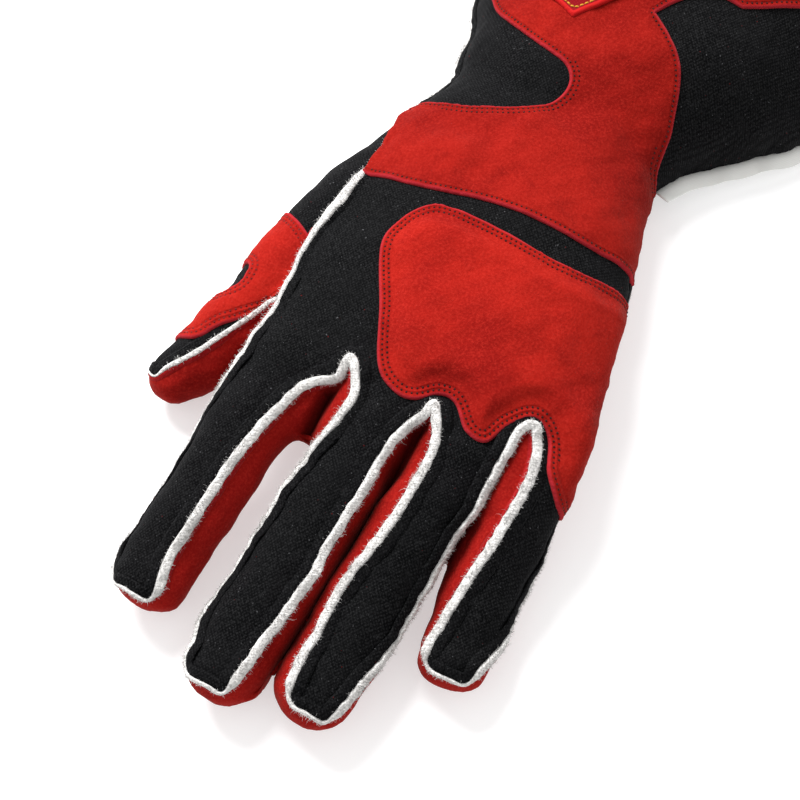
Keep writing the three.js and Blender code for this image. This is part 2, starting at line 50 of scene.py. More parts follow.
# The part's own frame: millimetres from the middle of the footprint
FOOTPRINT_CENTRE = np.array([12.87, 61.91, 0.0])
FINGERS = ("index", "middle", "ring", "little")

# Grid of the skin in metres, and step along a seam in millimetres
VOXEL = 0.0016
STEP = 0.55


class Row(Enum):
    """Distances of the rows of stitches from an outline, in millimetres."""

    SINGLE = (1.7,)
    DOUBLE = (1.6, 3.1)


def unit(vectors: Array) -> Array:
    """Vectors of length 1 in the directions given.

    Args:
        vectors: One vector a row.

    Returns:
        The unit vectors.
    """
    return vectors / np.maximum(np.linalg.norm(vectors, axis=-1, keepdims=True), 1e-9)


def smooth_step(low: float, high: float, values: Array) -> Array:
    """An eased climb from 0 to 1.

    Args:
        low: Where the climb starts.
        high: Where it ends.
        values: Where it is read.

    Returns:
        The climb's height at each value.
    """
    t = np.clip((values - low) / (high - low), 0.0, 1.0)
    return t * t * (3.0 - 2.0 * t)


def smooth_rows(rows: Array, steps: int) -> Array:
    """Rows of a table joined by a cubic, the same rule for every column.

    Args:
        rows: The table.
        steps: How many spans the result has.

    Returns:
        A table with steps + 1 rows.
    """
    last = len(rows) - 1
    place = np.linspace(0.0, last, steps + 1)
    at = np.minimum(place.astype(int), last - 1)
    t = (place - at)[:, None]
    a, b, c, d = (rows[np.clip(at + k, 0, last)] for k in (-1, 0, 1, 2))
    return b + 0.5 * t * (c - a + t * (2 * a - 5 * b + 4 * c - d + t * (3 * (b - c) + d - a)))


def ripple(points: Array, size: float, seed: int, waves: int = 9) -> Array:
    """Soft irregular relief made of a few crossed sine waves.

    Args:
        points: Where it is read, in millimetres.
        size: Its usual wavelength in millimetres.
        seed: Which series of waves.
        waves: How many waves are added.

    Returns:
        The relief, between about -1 and 1.
    """
    random = np.random.default_rng(seed)
    total = np.zeros(len(points))
    for _ in range(waves):
        direction = unit(random.normal(size=3))
        length = size * (0.6 + 0.9 * random.random())
        total += np.sin(points @ direction * (2 * np.pi / length) + random.random() * 2 * np.pi)
    return total / waves ** 0.5


@dataclass
class Line:
    """A path on the cloth, with the cloth's normal at each point. A contour's inside is on its left."""

    points: Array
    normals: Array
    closed: bool = False

    def length(self) -> float:
        """The path's length in millimetres."""
        return float(np.linalg.norm(np.diff(self.points, axis=0), axis=1).sum())

    def resampled(self, step: float) -> "Line":
        """The same path with points at an even step.

        Args:
            step: The distance between points, in millimetres.

        Returns:
            The new path.
        """
        data = np.column_stack([self.points, self.normals])
        if self.closed:
            data = np.vstack([data, data[:1]])
        run = np.concatenate([[0.0], np.cumsum(np.linalg.norm(np.diff(data[:, :3], axis=0), axis=1))])
        count = max(int(run[-1] / step), 4)
        places = np.linspace(0.0, run[-1], count + 1)
        if self.closed:
            places = places[:-1]
        even = np.column_stack([np.interp(places, run, column) for column in data.T])
        return Line(even[:, :3], unit(even[:, 3:]), self.closed)

    def smoothed(self, passes: int) -> "Line":
        """The same path with its small corners eased.

        Args:
            passes: How many times each point moves towards its neighbours.

        Returns:
            The new path.
        """
        points, normals = self.points.copy(), self.normals.copy()
        for _ in range(passes):
            for data in (points, normals):
                middle = (np.roll(data, 1, axis=0) + 2.0 * data + np.roll(data, -1, axis=0)) / 4.0
                data[:] = middle if self.closed else np.vstack([data[:1], middle[1:-1], data[-1:]])
        return Line(points, unit(normals), self.closed)

    def frames(self) -> tuple[Array, Array, Array]:
        """Directions along the path, towards its left side and out of the cloth.

        Returns:
            The three arrays of unit vectors.
        """
        if self.closed:
            along = np.roll(self.points, -1, axis=0) - np.roll(self.points, 1, axis=0)
        else:
            along = np.gradient(self.points, axis=0)
        along = unit(along)
        left = unit(np.cross(self.normals, along))
        return along, left, unit(np.cross(along, left))

    def run(self) -> Array:
        """Distance along the path at each point, in millimetres."""
        steps = np.linalg.norm(np.diff(self.points, axis=0), axis=1)
        return np.concatenate([[0.0], np.cumsum(steps)])

    def parts(self, keep: Array, shortest: float) -> list["Line"]:
        """The stretches of the path where a test holds.

        Args:
            keep: True at the points to keep.
            shortest: Stretches shorter than this many millimetres are left out.

        Returns:
            The stretches, as open paths.
        """
        points, normals = self.points, self.normals
        if self.closed and not keep.all():
            shift = int(np.argmin(keep))
            points, normals, keep = (np.roll(data, -shift, axis=0) for data in (points, normals, keep))
        found = []
        edges = np.flatnonzero(np.diff(np.concatenate([[0], keep.astype(int), [0]])))
        for start, end in zip(edges[::2], edges[1::2]):
            part = Line(points[start:end], normals[start:end])
            if end - start > 3 and part.length() >= shortest:
                found.append(part)
        return found


@dataclass
class Cloth:
    """A surface of triangles in millimetres, with its normals and named values at each point."""

    points: Array
    faces: Array
    normals: Array
    values: dict[str, Array] = field(default_factory=dict)

    def _stacked(self) -> Array:
        """Points, normals and values side by side."""
        return np.column_stack([self.points, self.normals, *self.values.values()])

    def _from_stack(self, data: Array, faces: Array) -> "Cloth":
        """A surface from stacked columns, without its unused points.

        Args:
            data: Columns as _stacked gives them.
            faces: Triangles as rows of point numbers.

        Returns:
            The surface.
        """
        used, inverse = np.unique(faces, return_inverse=True)
        data = data[used]
        values = {name: data[:, 6 + i] for i, name in enumerate(self.values)}
        return Cloth(data[:, :3], inverse.reshape(faces.shape), unit(data[:, 3:6]), values)

    def _crossed(self, level: Array) -> tuple[Array, Array, Array, Array, Array]:
        """Triangles that the line where a value is zero runs through.

        Args:
            level: The value at each point.

        Returns:
            The triangles turned so that the odd corner is first, whether that corner is inside, the stacked
            data of the points on the line, and the numbers of each triangle's two points on it.
        """
        inside = (level > 0)[self.faces]
        count = inside.sum(axis=1)
        mixed = (count == 1) | (count == 2)
        inside, count = inside[mixed], count[mixed]
        odd = np.where(count == 1, inside.argmax(axis=1), (~inside).argmax(axis=1))
        order = (odd[:, None] + np.arange(3)) % 3
        faces = np.take_along_axis(self.faces[mixed], order, axis=1)
        pairs = np.sort(np.concatenate([faces[:, [0, 1]], faces[:, [0, 2]]]), axis=1)
        edges, number = np.unique(pairs, axis=0, return_inverse=True)
        number = number.reshape(-1)
        low, high = level[edges[:, 0]], level[edges[:, 1]]
        share = np.clip(low / (low - high), 0.02, 0.98)[:, None]
        data = self._stacked()
        on_line = data[edges[:, 0]] * (1 - share) + data[edges[:, 1]] * share
        return faces, count == 1, on_line, number[: len(faces)], number[len(faces):]

    def clipped(self, level: Array) -> "Cloth":
        """The part of the surface where a value is above zero, cut along the exact line.

        Args:
            level: The value at each point.

        Returns:
            The part.
        """
        faces, alone, on_line, first, second = self._crossed(level)
        first, second = first + len(self.points), second + len(self.points)
        corners = np.column_stack([faces[:, 0], first, second])[alone]
        a, b, c, d = (column[~alone] for column in (first, faces[:, 1], faces[:, 2], second))
        whole = self.faces[((level > 0)[self.faces]).all(axis=1)]
        parts = [whole, corners, np.column_stack([a, b, c]), np.column_stack([a, c, d])]
        return self._from_stack(np.vstack([self._stacked(), on_line]), np.vstack(parts))

    def contours(self, level: Array) -> list[Line]:
        """The lines where a value is zero, with the inside on their left.

        Args:
            level: The value at each point.

        Returns:
            The lines, longest first.
        """
        _, alone, on_line, first, second = self._crossed(level)
        start = np.where(alone, first, second)
        end = np.where(alone, second, first)
        following = dict(zip(start.tolist(), end.tolist()))
        ends = set(end.tolist())
        lines = []
        for heads in ([k for k in following if k not in ends], list(following)):
            for head in heads:
                chain = [head]
                while chain[-1] in following:
                    chain.append(following.pop(chain[-1]))
                if len(chain) > 6:
                    closed = chain[0] == chain[-1]
                    data = on_line[chain[:-1] if closed else chain]
                    lines.append(Line(data[:, :3], unit(data[:, 3:6]), closed))
        return sorted(lines, key=Line.length, reverse=True)

    def refined(self) -> "Cloth":
        """The same surface with each triangle split in four."""
        a, b, c = self.faces.T
        pairs = np.sort(np.vstack([np.column_stack(pair) for pair in ((a, b), (b, c), (c, a))]), axis=1)
        edges, number = np.unique(pairs, axis=0, return_inverse=True)
        number = number.reshape(-1)
        data = self._stacked()
        data = np.vstack([data, data[edges].mean(axis=1)])
        ab, bc, ca = (number + len(self.points)).reshape(3, -1)
        faces = [(a, ab, ca), (ab, b, bc), (ca, bc, c), (ab, bc, ca)]
        return self._from_stack(data, np.vstack([np.column_stack(face) for face in faces]))

    def moved(self, height: Array | float) -> "Cloth":
        """The surface moved along its normals.

        Args:
            height: How far each point moves, in millimetres.

        Returns:
            The moved surface.
        """
        offset = self.normals * np.broadcast_to(height, len(self.points))[:, None]
        return Cloth(self.points + offset, self.faces, self.normals, dict(self.values))

    def thickened(self, top: Array | float, bottom: Array | float) -> "Cloth":
        """A closed wall between two heights over the surface, with its rim.

        Args:
            top: Height of the outer side, in millimetres.
            bottom: Height of the inner side, in millimetres.

        Returns:
            The closed wall.
        """
        directed = np.vstack([self.faces[:, [0, 1]], self.faces[:, [1, 2]], self.faces[:, [2, 0]]])
        keys = directed[:, 0].astype(np.int64) * len(self.points) + directed[:, 1]
        backs = directed[:, 1].astype(np.int64) * len(self.points) + directed[:, 0]
        border = directed[~np.isin(keys, backs)]
        outer, inner = self.moved(top), self.moved(bottom)
        count = len(self.points)
        a, b = border.T
        rim = np.vstack([np.column_stack([a, a + count, b]), np.column_stack([b, a + count, b + count])])
        faces = np.vstack([self.faces, self.faces[:, ::-1] + count, rim])
        data = np.vstack([outer._stacked(), inner._stacked()])
        return self._from_stack(data, faces)

    def relaxed(self, passes: int, strength: float = 0.5) -> "Cloth":
        """The surface with its small steps smoothed, and fresh normals.

        Args:
            passes: How many smoothing passes.
            strength: How far a point moves towards the mean of its neighbours.

        Returns:
            The smoothed surface.
        """
        edges = np.vstack([self.faces[:, [0, 1]], self.faces[:, [1, 2]], self.faces[:, [2, 0]]])
        count = len(self.points)
        degree = np.maximum(np.bincount(edges[:, 0], minlength=count), 1)[:, None]
        points = self.points.copy()
        for _ in range(passes):
            total = np.column_stack(
                [np.bincount(edges[:, 0], weights=points[edges[:, 1], k], minlength=count) for k in range(3)]
            )
            points += strength * (total / degree - points)
        return Cloth(points, self.faces, face_normals(points, self.faces), dict(self.values))


def face_normals(points: Array, faces: Array) -> Array:
    """Normals at the points of a surface, from the faces around them.

    Args:
        points: The points.
        faces: The triangles.

    Returns:
        One unit vector for each point.
    """
    a, b, c = (points[faces[:, k]] for k in range(3))
    normal = np.cross(b - a, c - a)
    total = np.column_stack(
        [
            sum(np.bincount(faces[:, k], weights=normal[:, axis], minlength=len(points)) for k in range(3))
            for axis in range(3)
        ]
    )
    return unit(total)


def make_object(name: str, points: Array, faces: Array, material: bpy.types.Material) -> bpy.types.Object:
    """A Blender object from points in the tables' millimetres.

    Args:
        name: The object's name.
        points: Its points.
        faces: Its triangles or quads.
        material: Its finish.

    Returns:
        The object, linked to the scene, with smooth shading.
    """
    mesh = bpy.data.meshes.new(name)
    corners = faces.shape[1]
    mesh.vertices.add(len(points))
    mesh.vertices.foreach_set("co", ((points - FOOTPRINT_CENTRE) / 1000.0).astype(np.float32).ravel())
    mesh.loops.add(faces.size)
    mesh.loops.foreach_set("vertex_index", faces.astype(np.int32).ravel())
    mesh.polygons.add(len(faces))
    mesh.polygons.foreach_set("loop_start", np.arange(0, faces.size, corners, dtype=np.int32))
    mesh.polygons.foreach_set("loop_total", np.full(len(faces), corners, dtype=np.int32))
    mesh.update(calc_edges=True)
    mesh.validate()
    mesh.shade_smooth()
    mesh.materials.append(material)
    made = bpy.data.objects.new(name, mesh)
    bpy.context.scene.collection.objects.link(made)
    return made


def cloth_object(name: str, cloth: Cloth, material: bpy.types.Material) -> bpy.types.Object:
    """A Blender object from a cloth surface, with the cloth's values as attributes.

    Args:
        name: The object's name.
        cloth: The surface.
        material: Its finish.

    Returns:
        The object.
    """
    made = make_object(name, cloth.points, cloth.faces, material)
    if len(made.data.vertices) == len(cloth.points):
        for label, numbers in cloth.values.items():
            attribute = made.data.attributes.new(label, "FLOAT", "POINT")
            attribute.data.foreach_set("value", numbers.astype(np.float32))
    return made


def settle(piece: bpy.types.Object, slot: str, *nodes: str) -> bpy.types.Object:
    """Ties a piece to the frame and reports it.

    Args:
        piece: The finished piece.
        slot: The record's material slot; not used.
        *nodes: The solids that it stands for.

    Returns:
        The piece.
    """
    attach(piece, "root")
    if nodes:
        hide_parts(*nodes)
    LOG.info("%s: %d triangles", piece.name, sum(len(p.vertices) - 2 for p in piece.data.polygons))
    return piece


def table(*rows: tuple[float, ...]) -> Array:
    """A table of sizes as an array.

    Args:
        *rows: Its rows.

    Returns:
        The array.
    """
    return np.array(rows, dtype=float)


@dataclass
class Digit:
    """One finger or thumb: its stations from root to tip, and the seams at the sides of its back.

    A station is x, y, z of the middle, half width, half height, and the angle of the left and right seam
    from the top.
    """

    name: str
    tip: float
    stations: Array
    reach: float = 2.4
    corner: float = 3.0
    steps: int = 40

    def sections(self, grow: float) -> tuple[Array, Array, Array, Array]:
        """Sections along the digit, moved outwards by a wall, with its rounded tip.

        Args:
            grow: How far the wall is moved outwards, in millimetres.

        Returns:
            The rows, and the directions along the digit, to its side and up.
        """
        rows = smooth_rows(self.stations, self.steps)
        onward = unit(rows[-1, :3] - rows[-2, :3])
        rows[:, 3:5] += grow
        caps = []
        for share in np.sin(np.linspace(0.0, 1.0, 9)[1:] * 1.5):
            cap = rows[-1].copy()
            cap[:3] += onward * share * (self.tip + grow)
            cap[3:5] *= (1.0 - share * share) ** 0.5
            caps.append(cap)
        rows = np.vstack([rows, caps])
        along = unit(np.gradient(rows[:, :3], axis=0))
        side = unit(np.cross([0.0, 0.0, 1.0], along))
        return rows, along, side, np.cross(along, side)

    def tube(self, grow: float, sides: int = 48) -> tuple[Array, Array]:
        """The digit's closed tube.

        Args:
            grow: How far its wall is moved outwards, in millimetres.
            sides: How many points lie around it.

        Returns:
            Its points and triangles.
        """
        rows, _, side, up = self.sections(grow)
        angle = np.arange(sides) / sides * 2 * np.pi
        across = side[:, None] * (rows[:, 3, None] * np.sin(angle))[..., None]
        upward = up[:, None] * (rows[:, 4, None] * np.cos(angle))[..., None]
        rings = rows[:, None, :3] + across + upward
        rings[..., 2] = np.maximum(rings[..., 2], max(0.0, -grow))
        return loft(rings)

    def place(self, points: Array) -> tuple[Array, Array, Array, Array]:
        """Where points lie around the digit.

        Args:
            points: The points, in millimetres.

        Returns:
            Angle from the top in degrees, reach in wall radii, distance before the tip's end, and the row
            there.
        """
        rows, along, side, up = self.sections(0.0)
        rows, along, side, up = (data[: self.steps + 1] for data in (rows, along, side, up))
        start, step = rows[:-1, :3], np.diff(rows[:, :3], axis=0)
        share = np.einsum("psk,sk->ps", points[:, None] - start, step) / (step ** 2).sum(axis=1)
        share = np.clip(share, 0.0, 1.0)
        nearest = start + share[..., None] * step
        best = ((points[:, None] - nearest) ** 2).sum(axis=2).argmin(axis=1)
        t = share[np.arange(len(points)), best][:, None]
        row = rows[best] * (1 - t) + rows[best + 1] * t
        to_side = unit(side[best] * (1 - t) + side[best + 1] * t)
        to_up = unit(up[best] * (1 - t) + up[best + 1] * t)
        away = points - row[:, :3]
        x, z = (away * to_side).sum(axis=1) / row[:, 3], (away * to_up).sum(axis=1) / row[:, 4]
        end = rows[-1, :3] + along[-1] * 0.6 * self.tip
        before_tip = (end - points) @ along[-1]
        return np.degrees(np.arctan2(x, z)), np.hypot(x, z), before_tip, row

    def back(self, points: Array) -> Array:
        """How far inside the digit's back panel points lie.

        Args:
            points: The points, in millimetres.

        Returns:
            The distance to the nearest seam in millimetres, below zero outside.
        """
        angle, reach, before_tip, row = self.place(points)
        radius = np.radians((row[:, 3] + row[:, 4]) / 2)
        from_root = (points - self.stations[0, :3]) @ unit(self.stations[1, :3] - self.stations[0, :3])
        left, right = (angle - row[:, 5]) * radius, (row[:, 6] - angle) * radius
        short = self.corner - np.stack([np.minimum(left, self.corner), np.minimum(before_tip, self.corner)])
        rounded_corner = self.corner - np.linalg.norm(np.maximum(short, 0.0), axis=0)
        sides = np.minimum.reduce([left, right, rounded_corner])
        return np.minimum.reduce([sides, before_tip, from_root + 2.0, (self.reach - reach) * row[:, 3]])


def loft(rings: Array) -> tuple[Array, Array]:
    """A closed surface through rings of equal count, with a fan over each end.

    Args:
        rings: The rings' points.

    Returns:
        Points and triangles, facing outwards.
    """
    count, sides = rings.shape[:2]
    grid = np.arange(count * sides).reshape(count, sides)
    a, b = grid[:-1].ravel(), np.roll(grid, -1, axis=1)[:-1].ravel()
    c, d = grid[1:].ravel(), np.roll(grid, -1, axis=1)[1:].ravel()
    first, last = np.full(sides, count * sides), np.full(sides, count * sides + 1)
    faces = np.vstack(
        [
            np.column_stack([a, b, c]),
            np.column_stack([b, d, c]),
            np.column_stack([first, np.roll(grid[0], -1), grid[0]]),
            np.column_stack([last, grid[-1], np.roll(grid[-1], -1)]),
        ]
    )
    points = np.vstack([rings.reshape(-1, 3), rings[0].mean(axis=0), rings[-1].mean(axis=0)])
    a, b, c = (points[faces[:, k]] for k in range(3))
    if (a * np.cross(b, c)).sum() < 0:
        faces = faces[:, ::-1]
    return points, faces


@dataclass
class GloveForm:
    """The glove's whole form, with the lines that its seams follow. Sizes are in millimetres."""

    digits: dict[str, Digit]
    body: Array
    folds: Array
    fork_line: Array
    gap_end: float
    gaps: tuple[tuple[float, float], ...]
    top_fullness: float = 2.25
    bottom_fullness: float = 2.7
    side_high: float = 24.0
    seam_inset: float = 6.0
    side_run: float = 12.0
    body_steps: int = 70
    hem_overrun: float = 8.0

    def fold_lift(self, x: Array, y: Array) -> Array:
        """Height that the soft folds add.

        Args:
            x: Place across the glove.
            y: Place along it.

        Returns:
            The height at each place.
        """
        lift = np.zeros_like(x)
        for fold_x, fold_y, turn, long, wide, height in self.folds:
            angle = np.radians(turn)
            dx, dy = x - fold_x, y - fold_y
            along = (dx * np.sin(angle) - dy * np.cos(angle)) / long
            across = (dx * np.cos(angle) + dy * np.sin(angle)) / wide
            lift += height * np.exp(-along * along - across * across)
        return lift

    def body_ring(self, row: Array, grow: float, y: float, sides: int = 128) -> Array:
        """One section of the hand or gauntlet.

        Args:
            row: The section's row of the table.
            grow: How far the wall is moved outwards.
            y: Its place along the glove.
            sides: How many points lie around it.

        Returns:
            The ring's points.
        """
        _, left, right, _, seam_left, seam_right, top, bottom, lean = row
        middle, half = (left + right) / 2, (right - left) / 2 + grow
        angle = np.arange(sides) / sides * 2 * np.pi
        above = angle <= np.pi
        power = 2 / np.where(above, self.top_fullness, self.bottom_fullness)
        across = np.sign(np.cos(angle)) * np.abs(np.cos(angle)) ** power
        height = np.abs(np.sin(angle)) ** power
        x = middle + half * across
        leaned = y + lean * (x - middle)
        low_left = min(seam_left, self.side_high)
        seam = low_left + (seam_right - low_left) * (across + 1) / 2
        rise = np.where(above, top + grow - seam + self.fold_lift(x, leaned), bottom - grow - seam)
        return np.column_stack([x, leaned, np.maximum(seam + height * rise, max(0.0, -grow))])

    def closed_form(self, grow: float) -> list[tuple[Array, Array]]:
        """Hand, gauntlet and digits as closed surfaces that run into each other.

        Args:
            grow: How far the wall is moved outwards, in millimetres.

        Returns:
            Points and triangles of each.
        """
        rows = smooth_rows(self.body, self.body_steps)
        rings = [self.body_ring(row, grow, row[0] - (grow if i == 0 else 0)) for i, row in enumerate(rows)]
        rings.append(self.body_ring(rows[-1], grow, rows[-1][0] + self.hem_overrun))
        return [loft(np.array(rings))] + [digit.tube(grow) for digit in self.digits.values()]

    def skin(self, grow: float, voxel: float, passes: int) -> Cloth:
        """The form as one smooth surface, open at the hem.

        Args:
            grow: How far the wall is moved outwards, in millimetres.
            voxel: The remesh's step, in metres.
            passes: How many smoothing passes it gets.

        Returns:
            The surface.
        """
        points, faces, count = [], [], 0
        for part_points, part_faces in self.closed_form(grow):
            points.append(part_points)
            faces.append(part_faces + count)
            count += len(part_points)
        blank = bpy.data.materials.new("blank")
        whole = make_object("form", np.vstack(points), np.vstack(faces), blank)
        remesh = whole.modifiers.new("remesh", "REMESH")
        remesh.mode = "VOXEL"
        remesh.voxel_size = voxel
        mesh = bpy.data.meshes.new_from_object(whole.evaluated_get(bpy.context.evaluated_depsgraph_get()))
        mesh.calc_loop_triangles()
        found = np.empty(len(mesh.vertices) * 3)
        mesh.vertices.foreach_get("co", found)
        corners = np.empty(len(mesh.loop_triangles) * 3, dtype=np.int32)
        mesh.loop_triangles.foreach_get("vertices", corners)
        bpy.data.objects.remove(whole)
        bpy.data.meshes.remove(mesh)
        bpy.data.materials.remove(blank)
        places = found.reshape(-1, 3) * 1000.0 + FOOTPRINT_CENTRE
        cloth = Cloth(places, corners.reshape(-1, 3), np.zeros((0, 3))).relaxed(passes)
        cloth.points[:, 2] = np.maximum(cloth.points[:, 2], max(0.0, -grow))
        return cloth.clipped(self.before_hem(cloth.points))

    def before_hem(self, points: Array) -> Array:
        """Distance of points before the hem's plane, in millimetres.

        Args:
            points: The points.

        Returns:
            The distances, above zero inside the glove.
        """
        y, left, right = self.body[-1, 0], self.body[-1, 1], self.body[-1, 2]
        return y + self.body[-1, 8] * (points[:, 0] - (left + right) / 2) - points[:, 1]

    def side_seams(self, points: Array) -> tuple[Array, Array]:
        """How far over the hand's left and right seams points lie.

        Args:
            points: The points.

        Returns:
            The two distances in millimetres, above zero on the back.
        """
        rows = smooth_rows(self.body, self.body_steps)
        x, y, z = points.T
        right, seam_x, seam_left, seam_right = (np.interp(y, rows[:, 0], rows[:, k]) for k in (2, 3, 4, 5))
        left_edge = ((x - seam_x) + (z - seam_left)) / 2 ** 0.5
        start, end = seam_x + self.seam_inset, right - self.side_run
        share = np.clip((x - start) / np.maximum(end - start, 1.0), 0.0, 1.0)
        floor = seam_left - self.seam_inset + share * (seam_right - seam_left + self.seam_inset)
        return left_edge, z - floor

    def gap(self, order: int, y: Array) -> Array:
        """Plan line between two neighbouring fingers.

        Args:
            order: The number of the gap, from the index finger.
            y: Places along the glove.

        Returns:
            The line's x at each place.
        """
        start, end = self.gaps[order]
        return start + (end - start) * y / self.gap_end

    def back(self, points: Array) -> Array:
        """How far inside the knit back points lie.

        Args:
            points: The points.

        Returns:
            The distance to the nearest seam in millimetres, below zero outside.
        """
        x, y, _ = points.T
        left_edge, right_edge = self.side_seams(points)
        fork = distance_to_path(points[:, :2], self.fork_line)
        ahead = y < np.interp(x, self.fork_line[:, 0], self.fork_line[:, 1])
        total = np.minimum.reduce([left_edge, right_edge, np.where(ahead, -fork, fork)])
        for order, name in enumerate(FINGERS):
            left = x - self.gap(order - 1, y) if order else np.full_like(x, 99.0)
            right = self.gap(order, y) - x if order < 3 else np.full_like(x, 99.0)
            total = np.maximum(total, np.minimum.reduce([self.digits[name].back(points), left, right]))
        return total

    def axis_x(self, name: str, y: Array) -> Array:
        """A finger's middle line in plan, carried straight on past both ends.

        Args:
            name: The finger.
            y: Places along the glove.

        Returns:
            The line's x at each place.
        """
        stations = self.digits[name].stations[::-1]
        return np.interp(y, stations[:, 1], stations[:, 0])


def distance_to_path(points: Array, path: Array, closed: bool = False) -> Array:
    """Distance in plan to a path of straight stretches.

    Args:
        points: Rows of x and y.
        path: The path's points.
        closed: Whether it returns to its start.

    Returns:
        The distance of each point.
    """
    ends = np.roll(path, -1, axis=0) if closed else path[1:]
    starts = path if closed else path[:-1]
    best = np.full(len(points), np.inf)
    for start, end in zip(starts, ends):
        step = end - start
        share = np.clip((points - start) @ step / max(step @ step, 1e-9), 0.0, 1.0)
        best = np.minimum(best, np.linalg.norm(points - start - share[:, None] * step, axis=1))
    return best


def inside_path(points: Array, path: Array) -> Array:
    """Whether points lie inside a closed path in plan.

    Args:
        points: Rows of x and y.
        path: The path's points.

    Returns:
        True for each point inside.
    """
    inside = np.zeros(len(points), dtype=bool)
    x, y = points.T
    for (x1, y1), (x2, y2) in zip(path, np.roll(path, -1, axis=0)):
        if y1 != y2:
            crosses = (y1 > y) != (y2 > y)
            inside ^= crosses & (x < (x2 - x1) * (y - y1) / (y2 - y1) + x1)
    return inside


def rounded(outline: Outline, steps: int = 8) -> Array:
    """An outline with a cubic between its sharp points.

    Args:
        outline: Rows of x, y and 1 where the corner stays sharp.
        steps: How many pieces each round stretch has.

    Returns:
        The outline's points.
    """
    found = []
    count = len(outline)
    for i, start in enumerate(outline):
        end = outline[(i + 1) % count]
        before = start if start[2] else outline[i - 1]
        after = end if end[2] else outline[(i + 2) % count]
        straight = start[2] and end[2]
        rows = smooth_rows(np.array([before[:2], start[:2], end[:2], after[:2]], dtype=float), 3 * steps)
        found.extend([np.array(start[:2], dtype=float)] if straight else rows[steps: 2 * steps])
    return np.array(found)


